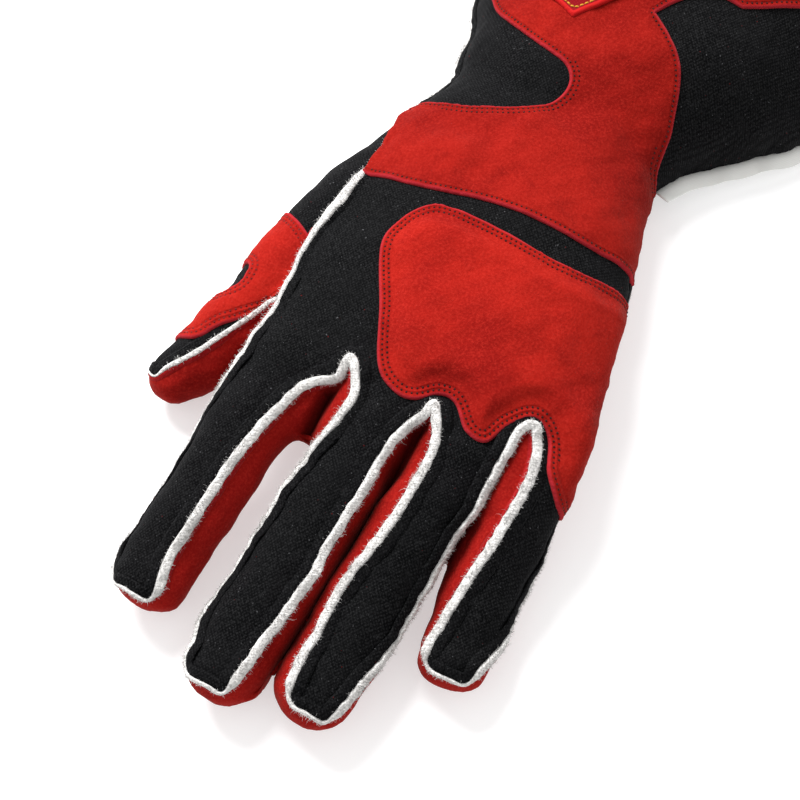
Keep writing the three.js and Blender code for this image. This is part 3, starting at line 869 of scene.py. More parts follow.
GLOVE = GloveForm(
    digits={
        "index": Digit("index", 8, table(
            (-33, 34, 22, 15, 12.5, -46, 56),
            (-34, 4, 24.5, 15, 12.3, -56, 60),
            (-35, -14, 24, 14, 12, -68, 37),
            (-36.6, -35, 20.8, 12.5, 11.5, -96, 23),
            (-38.1, -57, 16, 12, 11, -104, 20),
            (-39.1, -75, 12.6, 11.9, 10.6, -100, 20),
            (-39.4, -83, 11.2, 11.4, 10.2, -94, 32),
        ), corner=7.0),
        "middle": Digit("middle", 9, table(
            (1, 34, 24, 14, 12.6, -40, 50),
            (0.2, 4, 26.5, 13.8, 12.5, -38, 50),
            (-1.2, -12, 26.3, 13.2, 12.2, -37, 38),
            (-3.1, -38, 22.6, 12.3, 11.6, -63, 40),
            (-4.6, -63, 17, 12, 11.2, -80, 42),
            (-5.7, -86, 12.6, 12, 10.8, -80, 35),
            (-6, -96, 11.2, 11.4, 10.2, -66, 32),
        )),
        "ring": Digit("ring", 9.5, table(
            (26, 36, 23, 13.4, 12.4, -52, 52),
            (25.8, 6, 25.6, 13.3, 12.2, -52, 55),
            (24.6, -12, 25.2, 12.8, 11.9, -26, 68),
            (22.6, -35, 21.4, 12.4, 11.4, -18, 71),
            (21.9, -57, 16.6, 12.3, 11, -35, 81),
            (21.2, -78, 12.6, 12.3, 10.6, -33, 60),
            (21, -89, 11.2, 11.6, 10, -30, 50),
        )),
        "little": Digit("little", 8, table(
            (41, 40, 21, 9, 10.6, -30, 66),
            (45.6, 13, 23, 10.8, 11.2, -26, 90),
            (47.9, -4, 22.4, 11.1, 11, -4, 104),
            (48.3, -22, 18.8, 11.2, 10.6, -7, 112),
            (48.8, -40, 14.6, 11.4, 10.2, -19, 104),
            (50.2, -54, 11.6, 11.2, 9.8, -34, 72),
            (51, -61, 10.6, 10.6, 9.4, -42, 50),
        )),
        "thumb": Digit("thumb", 6.5, table(
            (-34, 92, 18.5, 10.6, 10.4, -124, 80),
            (-39, 76, 19, 13.2, 12.4, -124, 76),
            (-45.8, 58, 19.5, 13.8, 13.6, -124, 70),
            (-50.8, 40, 18.6, 12.8, 13.6, -122, 60),
            (-55.4, 20, 16.3, 11.5, 12.6, -120, 44),
            (-59.4, 0, 13.4, 10.8, 11.6, -116, 18),
            (-64.6, -14, 11, 9.8, 10.2, -110, 7),
            (-69.2, -23, 9.8, 8.2, 9, -104, -2),
        ), reach=1.7),
    },
    # y, left, right, seam's x at the left, seam heights at left and right, top, bottom, lean along Y
    body=table(
        (-24, -36, 48, -46.6, 27, 21, 28, 16, 0),
        (-20, -44, 53, -46.8, 28.4, 20, 32, 13, 0),
        (-8, -49, 56, -46.8, 30.4, 21, 37.5, 10, 0),
        (10, -50, 55.2, -46.9, 30.4, 21.5, 41, 6, 0),
        (32, -50.5, 51.4, -48.6, 30.4, 21, 43, 2, 0),
        (55, -50.5, 47.6, -48.6, 36, 20, 43, -1, 0),
        (76, -49, 41.6, -46.6, 33, 19, 41.5, -1, 0),
        (96, -45.4, 36.4, -43.6, 21, 16, 38.5, 0.5, 0),
        (110, -41.8, 34, -41.8, 18, 12, 37.5, 1.5, 0),
        (128, -44.2, 43.5, -44.2, 16, 7, 40, 0, -0.01),
        (152, -52.5, 65, -52.5, 14, 4.5, 44, -1, -0.03),
        (185, -59, 84, -59, 14, 4, 48, -1, -0.08),
        (217, -64, 100, -64, 14, 4, 51, -1, -0.14),
    ),
    # middle x and y, turn, half length, half width, height
    folds=table(
        (44, 140, 62, 26, 7, 2.2),
        (62, 158, 50, 26, 7, -2.4),
        (-30, 112, 80, 22, 6, -1.8),
        (-26, 124, 84, 20, 6, 1.4),
        (10, 118, 95, 22, 8, -1.3),
        (14, 92, 100, 26, 9, 1.0),
        (-22, 82, 70, 22, 8, -0.9),
    ),
    fork_line=table(
        (-110, -9), (-24, -9), (-20.5, -1.4), (-17, 0.6), (-13, -3), (-8.7, -11.5), (7, -14), (9.8, -5.8),
        (12, -1.2), (14.8, -2.6), (19.4, -14), (36.7, -10), (37.4, 3.6), (39.6, 8.2), (43, 7.2), (47.6, -4),
        (51, -10), (110, -10),
    ),
    gap_end=-120.0,
    gaps=((-17.0, -27.0), (12.0, 5.0), (36.8, 36.0)),
)


class Sketch:
    """A material's node tree, built step by step."""

    def __init__(self, name: str) -> None:
        """Starts the material.

        Args:
            name: The material's name.
        """
        self.material = bpy.data.materials.new(name)
        self.material.use_nodes = True
        self.nodes = self.material.node_tree.nodes
        self.links = self.material.node_tree.links
        self.shader = self.nodes["Principled BSDF"]
        self.place = self.node("ShaderNodeTexCoord").outputs["Object"]

    def node(self, kind: str, **settings: object) -> bpy.types.Node:
        """A new node.

        Args:
            kind: The node's type.
            **settings: Its properties.

        Returns:
            The node.
        """
        made = self.nodes.new(kind)
        for name, value in settings.items():
            setattr(made, name, value)
        return made

    def feed(self, socket: bpy.types.NodeSocket, value: object) -> None:
        """Links a value to a socket, or sets it there.

        Args:
            socket: The socket.
            value: Another socket, or a number or colour.
        """
        if isinstance(value, bpy.types.NodeSocket):
            self.links.new(value, socket)
        else:
            socket.default_value = value

    def stretched(self, scale: Triple, turn: Triple) -> bpy.types.NodeSocket:
        """Object coordinates, turned and scaled.

        Args:
            scale: The scale on each axis.
            turn: The turn on each axis, in radians.

        Returns:
            The coordinates.
        """
        mapping = self.node("ShaderNodeMapping")
        self.feed(mapping.inputs["Vector"], self.place)
        mapping.inputs["Scale"].default_value = scale
        mapping.inputs["Rotation"].default_value = turn
        return mapping.outputs["Vector"]

    def noise(
        self, size: float, detail: float = 3.0, rough: float = 0.55, place: object = None
    ) -> bpy.types.NodeSocket:
        """Noise with a usual size.

        Args:
            size: The size of its blotches, in millimetres.
            detail: How many finer layers it has.
            rough: How strong those are.
            place: Other coordinates than the object's.

        Returns:
            The noise, between 0 and 1.
        """
        made = self.node("ShaderNodeTexNoise")
        self.feed(made.inputs["Vector"], place or self.place)
        made.inputs["Scale"].default_value = 1000.0 / size
        made.inputs["Detail"].default_value = detail
        made.inputs["Roughness"].default_value = rough
        return made.outputs["Fac"]

    def ridges(self, size: float, turn: Triple, wobble: float = 0.0) -> bpy.types.NodeSocket:
        """Even ridges across the object.

        Args:
            size: Their spacing in millimetres.
            turn: The turn of their direction on each axis, in radians.
            wobble: How far they waver.

        Returns:
            The ridges, between 0 and 1.
        """
        made = self.node("ShaderNodeTexWave", bands_direction="X")
        self.feed(made.inputs["Vector"], self.stretched((1.0, 1.0, 1.0), turn))
        made.inputs["Scale"].default_value = 314.16 / size
        made.inputs["Distortion"].default_value = wobble
        made.inputs["Detail"].default_value = 1.0
        made.inputs["Detail Scale"].default_value = 0.6
        return made.outputs["Fac"]

    def value(self, name: str) -> bpy.types.NodeSocket:
        """A named value that rides on the cloth's points."""
        return self.node("ShaderNodeAttribute", attribute_name=name).outputs["Fac"]

    def math(self, how: str, first: object, second: object = 0.0) -> bpy.types.NodeSocket:
        """The result of a sum on two values.

        Args:
            how: Which sum.
            first: A socket or number.
            second: A socket or number.

        Returns:
            The result.
        """
        made = self.node("ShaderNodeMath", operation=how)
        self.feed(made.inputs[0], first)
        self.feed(made.inputs[1], second)
        return made.outputs[0]

    def ramp(
        self, source: bpy.types.NodeSocket, low: float, high: float, to_low: float = 0.0, to_high: float = 1.0
    ) -> bpy.types.NodeSocket:
        """A value eased from one range to another.

        Args:
            source: The value.
            low: Where the first range starts.
            high: Where it ends.
            to_low: Where the new range starts.
            to_high: Where it ends.

        Returns:
            The eased value.
        """
        made = self.node("ShaderNodeMapRange", interpolation_type="SMOOTHSTEP")
        self.feed(made.inputs["Value"], source)
        for label, number in (("From Min", low), ("From Max", high), ("To Min", to_low), ("To Max", to_high)):
            made.inputs[label].default_value = number
        return made.outputs["Result"]

    def mixed(self, share: object, first: object, second: object) -> bpy.types.NodeSocket:
        """A blend of two colours.

        Args:
            share: How much of the second.
            first: A colour or socket.
            second: A colour or socket.

        Returns:
            The blend.
        """
        made = self.node("ShaderNodeMix", data_type="RGBA")
        self.feed(made.inputs["Factor"], share)
        for socket, value in ((made.inputs[6], first), (made.inputs[7], second)):
            self.feed(socket, (*value, 1.0) if isinstance(value, tuple) else value)
        return made.outputs[2]

    def relief(self, layers: list[tuple[bpy.types.NodeSocket, float]]) -> None:
        """Fine relief from several heights, each with its depth in millimetres.

        Args:
            layers: Heights and depths.
        """
        normal = None
        for height, depth in layers:
            bump = self.node("ShaderNodeBump")
            bump.inputs["Distance"].default_value = depth / 1000.0
            self.feed(bump.inputs["Height"], height)
            if normal is not None:
                self.feed(bump.inputs["Normal"], normal)
            normal = bump.outputs["Normal"]
        self.feed(self.shader.inputs["Normal"], normal)

    def finish(
        self,
        colour: object,
        roughness: float,
        sheen: float = 0.0,
        tint: Triple = (1.0, 1.0, 1.0),
        sheen_roughness: float = 0.5,
        specular: float = 0.5,
    ) -> bpy.types.Material:
        """Sets the shader's own sockets.

        Args:
            colour: The base colour.
            roughness: The surface's roughness.
            sheen: Strength of the nap's sheen.
            tint: The sheen's colour.
            sheen_roughness: How broad the sheen is.
            specular: Level of the plain reflection.

        Returns:
            The finished material.
        """
        self.feed(self.shader.inputs["Base Color"], colour)
        self.shader.inputs["Roughness"].default_value = roughness
        self.shader.inputs["Sheen Weight"].default_value = sheen
        self.shader.inputs["Sheen Roughness"].default_value = sheen_roughness
        self.shader.inputs["Sheen Tint"].default_value = (*tint, 1.0)
        self.shader.inputs["Specular IOR Level"].default_value = specular
        return self.material


@dataclass(frozen=True)
class KnitFinish:
    """Black knit, its criss-cross grain partly painted highlight, with a fuzzy face and a few stray flecks.
    """

    name: str = "black_knit"
    dark: Triple = (0.0006, 0.0006, 0.0008)
    light: Triple = (0.0130, 0.0130, 0.0135)
    dusty: Triple = (0.0045, 0.0045, 0.0048)
    speck: Triple = (0.10, 0.10, 0.105)
    red_speck: Triple = (0.10, 0.005, 0.005)
    sheen: Triple = (0.9, 0.92, 1.0)
    loop: float = 0.85
    loop_share: float = 0.62
    loop_angles: tuple[float, float] = (0.62, -0.72)

    def material(self) -> bpy.types.Material:
        """Builds the material."""
        sketch = Sketch(self.name)
        first, second = (sketch.ridges(self.loop, (0.0, 0.0, angle), 1.1) for angle in self.loop_angles)
        loops = sketch.math("MULTIPLY", first, second)
        cloudy = sketch.noise(9.0, 3.0)
        fluff = sketch.noise(0.7, 3.0, 0.75)
        fuzzy = sketch.ramp(fluff, 0.38, 0.7, -0.2, 0.65)
        # Raised loops and fluff lighter, hollows darker: partly the knit's own grain, partly painted
        # highlight and shade.
        share = sketch.math("ADD", sketch.math("MULTIPLY", loops, self.loop_share), fuzzy)
        colour = sketch.mixed(share, self.dark, self.light)
        colour = sketch.mixed(sketch.ramp(cloudy, 0.35, 0.75, 0.0, 0.35), colour, self.dusty)
        specks = sketch.ramp(sketch.noise(0.8, 1.0, 0.5), 0.735, 0.79)
        colour = sketch.mixed(sketch.math("MULTIPLY", specks, 0.5), colour, self.speck)
        turned = sketch.stretched((1.0, 1.0, 1.0), (0.4, 0.9, 1.7))
        red = sketch.ramp(sketch.noise(1.1, 1.0, 0.5, turned), 0.785, 0.82)
        colour = sketch.mixed(sketch.math("MULTIPLY", red, 0.6), colour, self.red_speck)
        sketch.relief([(cloudy, 0.4), (loops, 0.1), (fluff, 0.1)])
        return sketch.finish(
            colour, roughness=0.9, sheen=0.012, tint=self.sheen, sheen_roughness=0.45, specular=0.05
        )


@dataclass(frozen=True)
class SuedeFinish:
    """Red suede with a mottled nap, painted shade where its value "crease" is high and along stitch rows.

    The value "edge" is the distance from a cut edge in millimetres.
    """

    name: str
    rows: tuple[float, ...] = ()
    has_edge: bool = False
    has_crease_shade: bool = False
    base: Triple = (0.245, 0.0078, 0.0045)
    # deep is both the mottle's darker tone and the painted shade along stitch rows.
    deep: Triple = (0.150, 0.0034, 0.0028)
    bright: Triple = (0.335, 0.0175, 0.0115)
    cut: Triple = (0.31, 0.017, 0.026)
    crease_shade: Triple = (0.020, 0.0010, 0.0010)
    sheen: Triple = (1.0, 0.5, 0.4)

    def material(self) -> bpy.types.Material:
        """Builds the material."""
        sketch = Sketch(self.name)
        broad = sketch.noise(30.0, 2.0, 0.5)
        blotch = sketch.noise(9.0, 5.0, 0.68)
        nap = sketch.noise(0.8, 4.0, 0.75)
        colour = sketch.mixed(sketch.ramp(broad, 0.38, 0.68, 0.0, 0.72), self.base, self.deep)
        colour = sketch.mixed(sketch.ramp(blotch, 0.5, 0.72, 0.0, 0.5), colour, self.deep)
        colour = sketch.mixed(sketch.ramp(nap, 0.44, 0.68, 0.0, 0.55), colour, self.bright)
        colour = sketch.mixed(sketch.ramp(nap, 0.3, 0.48, 0.45, 0.0), colour, self.deep)
        layers = [(blotch, 0.45), (nap, 0.22)]
        if self.has_edge:
            edge = sketch.value("edge")
            for row in self.rows:
                away = sketch.math("ABSOLUTE", sketch.math("SUBTRACT", edge, row))
                # Painted shade along each row of stitches, in the groove the row sews into the suede.
                colour = sketch.mixed(sketch.ramp(away, 0.1, 0.75, 0.34, 0.0), colour, self.deep)
                layers.append((sketch.ramp(away, 0.1, 0.7), 0.16))
            cut = sketch.ramp(edge, 0.45, 1.1, 0.7, 0.0)
            colour = sketch.mixed(cut, colour, self.cut)
        if self.has_crease_shade:
            # Painted shade: the suede turns nearly black at the bottom of the creases between fingers.
            colour = sketch.mixed(sketch.value("crease"), colour, self.crease_shade)
        sketch.relief(layers)
        return sketch.finish(
            colour, roughness=0.95, sheen=0.06, tint=self.sheen, sheen_roughness=0.35, specular=0.04
        )


@dataclass(frozen=True)
class FleeceFinish:
    """White raw lining fleece, its loops in rows turned by the slant, in radians."""

    name: str = "white_fleece"
    white: Triple = (0.66, 0.645, 0.63)
    shade: Triple = (0.36, 0.35, 0.335)
    loop: float = 0.8
    slant: float = 1.15

    def material(self) -> bpy.types.Material:
        """Builds the material."""
        sketch = Sketch(self.name)
        tufts = sketch.noise(1.0, 3.0, 0.7)
        strands = sketch.noise(0.35, 2.0, 0.6)
        loops = sketch.ridges(self.loop, (0.0, 0.0, self.slant), 4.0)
        colour = sketch.mixed(sketch.ramp(tufts, 0.36, 0.6, 0.6, 0.0), self.white, self.shade)
        colour = sketch.mixed(sketch.ramp(loops, 0.1, 0.6, 0.2, 0.0), colour, self.shade)
        sketch.relief([(tufts, 0.5), (loops, 0.05), (strands, 0.2)])
        return sketch.finish(colour, roughness=0.95, sheen=0.05, specular=0.05)


@dataclass(frozen=True)
class PlainFinish:
    """A plain woven or twisted finish: thread, tape or badge cloth, with a border along the value "edge"."""

    name: str
    colour: Triple
    shade: Triple
    grain: float = 0.5
    depth: float = 0.12
    roughness: float = 0.6
    sheen: float = 0.02
    specular: float = 0.15
    border: float = 0.0
    border_colour: Triple = (0.34, 0.0085, 0.0085)
    weave_angles: tuple[float, float] = (0.6, -0.97)

    def material(self) -> bpy.types.Material:
        """Builds the material."""
        sketch = Sketch(self.name)
        warp, weft = (sketch.ridges(self.grain, (0.2, 0.3, angle)) for angle in self.weave_angles)
        weave = sketch.math("MULTIPLY", warp, weft)
        soft = sketch.noise(6.0, 3.0)
        colour = sketch.mixed(sketch.math("MULTIPLY", weave, 0.8), self.shade, self.colour)
        colour = sketch.mixed(sketch.ramp(soft, 0.4, 0.7, 0.0, 0.3), colour, self.shade)
        if self.border:
            rim = sketch.ramp(sketch.value("edge"), self.border - 0.15, self.border + 0.15, 1.0, 0.0)
            colour = sketch.mixed(rim, colour, self.border_colour)
        sketch.relief([(weave, self.depth)])
        return sketch.finish(colour, self.roughness, self.sheen, specular=self.specular)


class Palette:
    """The glove's finishes, each built once."""

    def __init__(self) -> None:
        """Builds the materials."""
        self.knit = KnitFinish().material()
        # The palm side's suede gets painted shade in the creases between fingers.
        self.suede = SuedeFinish("red_suede", has_crease_shade=True, base=(0.235, 0.0066, 0.0050)).material()
        self.patch_double = SuedeFinish("patch_suede_double", Row.DOUBLE.value, True).material()
        self.patch_single = SuedeFinish(
            "patch_suede_single",
            Row.SINGLE.value,
            True,
            base=(0.205, 0.0064, 0.0038),
            deep=(0.118, 0.0026, 0.0021),
            bright=(0.28, 0.0145, 0.0095),
        ).material()
        self.fleece = FleeceFinish().material()
        self.label = PlainFinish(
            "white_tape", (0.85, 0.85, 0.83), (0.74, 0.74, 0.71), grain=0.4, depth=0.03, roughness=0.7
        ).material()
        self.badge = PlainFinish(
            "badge_twill",
            (0.20, 0.0040, 0.0085),
            (0.15, 0.0025, 0.0050),
            grain=0.8,
            depth=0.03,
            sheen=0.0,
            specular=0.02,
            border=1.5,
        ).material()
        self.red_thread = self.thread("red_thread", (0.13, 0.0045, 0.0042), (0.09, 0.0030, 0.0030), 0.6)
        self.hole = self.thread("dark_thread", (0.055, 0.0018, 0.0020), (0.018, 0.0008, 0.0009), 0.3)
        self.yellow = self.thread("yellow_thread", (0.62, 0.34, 0.03), (0.42, 0.20, 0.015), 0.3)
        red = {"base": (0.25, 0.009, 0.010), "bright": (0.32, 0.020, 0.022)}
        self.raw_red = SuedeFinish("raw_red_edge", **red).material()

    def thread(self, name: str, colour: Triple, shade: Triple, grain: float) -> bpy.types.Material:
        """A twisted thread's finish.

        Args:
            name: Its name.
            colour: Its colour.
            shade: The colour between its strands.
            grain: The strands' spacing in millimetres.

        Returns:
            The material.
        """
        return PlainFinish(name, colour, shade, grain).material()


class Grower:
    """A Geometry Nodes tree that sets copies of a small form on a path or surface."""

    def __init__(self, name: str) -> None:
        """Starts the tree.

        Args:
            name: The tree's name.
        """
        self.tree = bpy.data.node_groups.new(name, "GeometryNodeTree")
        self.tree.interface.new_socket(name="Geometry", in_out="INPUT", socket_type="NodeSocketGeometry")
        self.tree.interface.new_socket(name="Geometry", in_out="OUTPUT", socket_type="NodeSocketGeometry")
        self.entry = self.tree.nodes.new("NodeGroupInput")
        self.identifiers: dict[str, str] = {}

    def inputs(self, **kinds: str) -> None:
        """Adds named inputs.

        Args:
            **kinds: The kind of each one's socket.
        """
        for name, kind in kinds.items():
            found = self.tree.interface.new_socket(
                name=name, in_out="INPUT", socket_type=f"NodeSocket{kind}"
            )
            self.identifiers[name] = found.identifier

    def node(self, kind: str, links: Links | None = None, **settings: object) -> bpy.types.Node:
        """A new node with its links.

        Args:
            kind: The node's type.
            links: Sockets for its inputs.
            **settings: Its properties.

        Returns:
            The node.
        """
        made = self.tree.nodes.new(kind)
        for name, value in settings.items():
            setattr(made, name, value)
        for name, socket in (links or {}).items():
            self.tree.links.new(socket, made.inputs[name])
        return made

    def close(self, geometry: bpy.types.NodeSocket) -> None:
        """Ends the tree: real copies with their finish.

        Args:
            geometry: The instances.
        """
        real = self.node("GeometryNodeRealizeInstances", {"Geometry": geometry})
        links = {"Geometry": real.outputs["Geometry"], "Material": self.entry.outputs["Material"]}
        dressed = self.node("GeometryNodeSetMaterial", links)
        exit_node = self.tree.nodes.new("NodeGroupOutput")
        self.tree.links.new(dressed.outputs["Geometry"], exit_node.inputs["Geometry"])

    def grown(self, carrier: bpy.types.Object, **values: object) -> bpy.types.Mesh:
        """Runs the tree on an object and takes the object away.

        Args:
            carrier: The path or surface.
            **values: A value for each named input.

        Returns:
            The plain mesh of all copies.
        """
        modifier = carrier.modifiers.new("grow", "NODES")
        modifier.node_group = self.tree
        for name, value in values.items():
            modifier[self.identifiers[name]] = value
        mesh = bpy.data.meshes.new_from_object(carrier.evaluated_get(bpy.context.evaluated_depsgraph_get()))
        carrier.modifiers.remove(modifier)
        bpy.data.objects.remove(carrier)
        return mesh


def stitch_grower() -> Grower:
    """A tree that sets stitches along paths, flat on the cloth.

    Returns:
        The tree, with the inputs Stitch, Spacing, Jitter, Seed and Material.
    """
    grower = Grower("stitches")
    grower.inputs(Stitch="Object", Spacing="Float", Jitter="Float", Seed="Int", Material="Material")
    entry = grower.entry.outputs
    curve = grower.node("GeometryNodeMeshToCurve", {"Mesh": entry["Geometry"]})
    spaced = {"Curve": curve.outputs["Curve"], "Length": entry["Spacing"]}
    even = grower.node("GeometryNodeResampleCurve", spaced, mode="LENGTH")
    tangent = grower.node("GeometryNodeInputTangent")
    outward = grower.node("GeometryNodeInputNamedAttribute", data_type="FLOAT_VECTOR")
    outward.inputs["Name"].default_value = "outward"
    along = grower.node("FunctionNodeAlignRotationToVector", {"Vector": tangent.outputs["Tangent"]}, axis="X")
    flat = grower.node(
        "FunctionNodeAlignRotationToVector",
        {"Rotation": along.outputs["Rotation"], "Vector": outward.outputs["Attribute"]},
        axis="Z",
        pivot_axis="X",
    )
    turn = grower.node("FunctionNodeRandomValue", {"Seed": entry["Seed"]}, data_type="FLOAT_VECTOR")
    less = grower.node("ShaderNodeMath", {0: entry["Jitter"]}, operation="MULTIPLY")
    less.inputs[1].default_value = -1.0
    grower.tree.links.new(less.outputs[0], turn.inputs[0])
    grower.tree.links.new(entry["Jitter"], turn.inputs[1])
    wobble = grower.node(
        "FunctionNodeRotateRotation",
        {"Rotation": flat.outputs["Rotation"], "Rotate By": turn.outputs[0]},
        rotation_space="LOCAL",
    )
    form = grower.node("GeometryNodeObjectInfo", {"Object": entry["Stitch"]})
    copies = grower.node(
        "GeometryNodeInstanceOnPoints",
        {
            "Points": even.outputs["Curve"],
            "Instance": form.outputs["Geometry"],
            "Rotation": wobble.outputs["Rotation"],
        },
    )
    grower.close(copies.outputs["Instances"])
    return grower


def fibre_grower() -> Grower:
    """A tree that sets loose fibres on a surface, where its value "tuft" says so.

    Returns:
        The tree, with the inputs Fibre, Density, Spread, Short, Long, Seed and Material.
    """
    grower = Grower("fibres")
    grower.inputs(Fibre="Object", Density="Float", Spread="Float", Short="Float", Long="Float")
    grower.inputs(Seed="Int", Material="Material")
    entry = grower.entry.outputs
    tuft = grower.node("GeometryNodeInputNamedAttribute", data_type="FLOAT")
    tuft.inputs["Name"].default_value = "tuft"
    factors = {0: tuft.outputs["Attribute"], 1: entry["Density"]}
    strength = grower.node("ShaderNodeMath", factors, operation="MULTIPLY")
    spots = grower.node(
        "GeometryNodeDistributePointsOnFaces",
        {"Mesh": entry["Geometry"], "Density": strength.outputs[0], "Seed": entry["Seed"]},
    )
    turn = grower.node("FunctionNodeRandomValue", {"Seed": entry["Seed"]}, data_type="FLOAT_VECTOR")
    less = grower.node("ShaderNodeMath", {0: entry["Spread"]}, operation="MULTIPLY")
    less.inputs[1].default_value = -1.0
    grower.tree.links.new(less.outputs[0], turn.inputs[0])
    grower.tree.links.new(entry["Spread"], turn.inputs[1])
    tilted = grower.node(
        "FunctionNodeRotateRotation",
        {"Rotation": spots.outputs["Rotation"], "Rotate By": turn.outputs[0]},
        rotation_space="LOCAL",
    )
    size = grower.node("FunctionNodeRandomValue", {"Seed": entry["Seed"]}, data_type="FLOAT")
    grower.tree.links.new(entry["Short"], size.inputs[2])
    grower.tree.links.new(entry["Long"], size.inputs[3])
    form = grower.node("GeometryNodeObjectInfo", {"Object": entry["Fibre"]})
    copies = grower.node(
        "GeometryNodeInstanceOnPoints",
        {
            "Points": spots.outputs["Points"],
            "Instance": form.outputs["Geometry"],
            "Rotation": tilted.outputs["Rotation"],
            "Scale": size.outputs[1],
        },
    )
    grower.close(copies.outputs["Instances"])
    return grower


def swept(line: Line, section: Array, push: Array | float = 0.0) -> tuple[Array, Array]:
    """A closed strip along a path.

    Args:
        line: The path.
        section: Rows of places to the left and outwards, one ring for all stations or one for each.
        push: Extra outward height at each station and ring point.

    Returns:
        Points and triangles.
    """
    _, left, out = line.frames()
    section = np.broadcast_to(section, (len(line.points), *section.shape[-2:]))
    rings = (
        line.points[:, None]
        + left[:, None] * section[..., 0, None]
        + out[:, None] * (section[..., 1] + push)[..., None]
    )
    return loft(rings)


def stitch_form(
    name: str, blank: bpy.types.Material, long: float, wide: float, high: float, sunk: float
) -> bpy.types.Object:
    """One stitch: a short thread that dives into the cloth at both ends.

    Args:
        name: The object's name.
        blank: Its finish until it is copied.
        long: Its length in millimetres.
        wide: Its width.
        high: How far its middle stands up.
        sunk: How deep its ends go.

    Returns:
        The object, round the origin in metres.
    """
    places = np.linspace(-0.5, 0.5, 5)
    angle = np.arange(6) / 6 * 2 * np.pi
    radius = wide / 2 * np.array([0.55, 0.95, 1.0, 0.95, 0.55])
    height = (high + sunk) * (1 - (2 * places) ** 2) - sunk
    rings = np.stack(
        [
            np.column_stack([np.full(6, x * long), r * np.cos(angle), h + 0.7 * r * np.sin(angle)])
            for x, r, h in zip(places, radius, height)
        ]
    )
    points, faces = loft(rings)
    return make_object(name, points + FOOTPRINT_CENTRE, faces, blank)


def fibre_form(
    name: str, blank: bpy.types.Material, thick: float, bend: float, curl: float, rows: int
) -> bpy.types.Object:
    """One loose fibre 1 mm long, a thin bent spike.

    Args:
        name: The object's name.
        blank: Its finish until it is copied.
        thick: Its thickness at the root.
        bend: How far its end leans over.
        curl: How far it winds to the side.
        rows: How many sections it has.

    Returns:
        The object, round the origin in metres.
    """
    angle = np.arange(3) / 3 * 2 * np.pi
    rings = []
    for t in np.linspace(-0.15, 1.0, rows):
        radius = thick / 2 * (1.0 - 0.7 * max(t, 0.0))
        side = curl * (1.0 - np.cos(4.0 * t))
        rings.append(
            np.column_stack(
                [bend * t * t + radius * np.cos(angle), side + radius * np.sin(angle), np.full(3, t)]
            )
        )
    points, faces = loft(np.stack(rings))
    return make_object(name, points + FOOTPRINT_CENTRE, faces, blank)


@dataclass(frozen=True)
class Growth:
    """Loose fibres: how many on a square millimetre, their lengths in millimetres and how far they lean."""

    density: float
    short: float
    long: float
    spread: float = 1.0
    curled: bool = False


STITCH_PITCH = 1.62
FLEECE_NAP = Growth(4.8, 0.4, 1.25, 1.1)
FLEECE_CURLS = Growth(0.07, 1.2, 2.8, 0.9, True)
KNIT_NAP = Growth(0.5, 0.3, 0.95)


class Workshop:
    """Tools that several sub-assemblies share."""

    def __init__(self, palette: Palette) -> None:
        """Makes the trees and the small forms that they copy.

        Args:
            palette: The finishes.
        """
        self.palette = palette
        self.stitches = stitch_grower()
        self.fibres = fibre_grower()
        self.thread = stitch_form("thread_form", palette.hole, 0.82, 0.66, 0.05, 0.2)
        self.dash = stitch_form("dash_form", palette.hole, 1.5, 0.66, 0.16, 0.16)
        self.fibre = fibre_form("fibre_form", palette.fleece, 0.15, 0.35, 0.0, 2)
        self.curl = fibre_form("curl_form", palette.fleece, 0.045, 0.45, 0.16, 7)

    def stitched(
        self, name: str, slot: str, lines: list[Line], material: bpy.types.Material, dashed: bool
    ) -> None:
        """Makes one piece of all the stitches along some paths.

        Args:
            name: The piece's name.
            slot: The record's slot.
            lines: The paths.
            material: The thread's finish.
            dashed: Whether the stitches are long dashes.
        """
        points, edges, normals, count = [], [], [], 0
        for line in lines:
            here = len(line.points)
            order = np.arange(here)
            pairs = np.column_stack([order[:-1], order[1:]])
            if line.closed:
                pairs = np.vstack([pairs, [[here - 1, 0]]])
            points.append(line.points)
            normals.append(line.normals)
            edges.append(pairs + count)
            count += here
        mesh = bpy.data.meshes.new(name)
        places = (np.vstack(points) - FOOTPRINT_CENTRE) / 1000.0
        mesh.from_pydata(places.tolist(), np.vstack(edges).tolist(), [])
        outward = mesh.attributes.new("outward", "FLOAT_VECTOR", "POINT")
        outward.data.foreach_set("vector", np.vstack(normals).astype(np.float32).ravel())
        carrier = bpy.data.objects.new(f"{name}_path", mesh)
        bpy.context.scene.collection.objects.link(carrier)
        form = self.dash if dashed else self.thread
        values = {"Stitch": form, "Spacing": STITCH_PITCH / 1000.0, "Jitter": 0.12, "Seed": 7}
        grown = self.stitches.grown(carrier, Material=material, **values)
        settle(self.plain(name, grown), slot)

    def plain(self, name: str, mesh: bpy.types.Mesh) -> bpy.types.Object:
        """A linked object for a finished mesh.

        Args:
            name: Its name.
            mesh: The mesh.

        Returns:
            The object.
        """
        mesh.name = name
        mesh.shade_smooth()
        made = bpy.data.objects.new(name, mesh)
        bpy.context.scene.collection.objects.link(made)
        return made

    def fuzz(
        self, name: str, cloth: Cloth, material: bpy.types.Material, growth: Growth, seed: int
    ) -> bpy.types.Object:
        """Loose fibres on a surface.

        Args:
            name: The piece's name.
            cloth: The surface, with its value "tuft".
            material: The fibres' finish.
            growth: How many fibres there are, and how long.
            seed: The scatter's seed.

        Returns:
            The fibres' object.
        """
        carrier = cloth_object(f"{name}_ground", cloth, material)
        form = self.curl if growth.curled else self.fibre
        values = {"Fibre": form, "Density": growth.density * 1e6, "Spread": growth.spread}
        values |= {"Short": growth.short, "Long": growth.long}
        return self.plain(name, self.fibres.grown(carrier, Seed=seed, Material=material, **values))

    def clear(self) -> None:
        """Takes the small forms away."""
        for form in (self.thread, self.dash, self.fibre, self.curl):
            bpy.data.objects.remove(form)


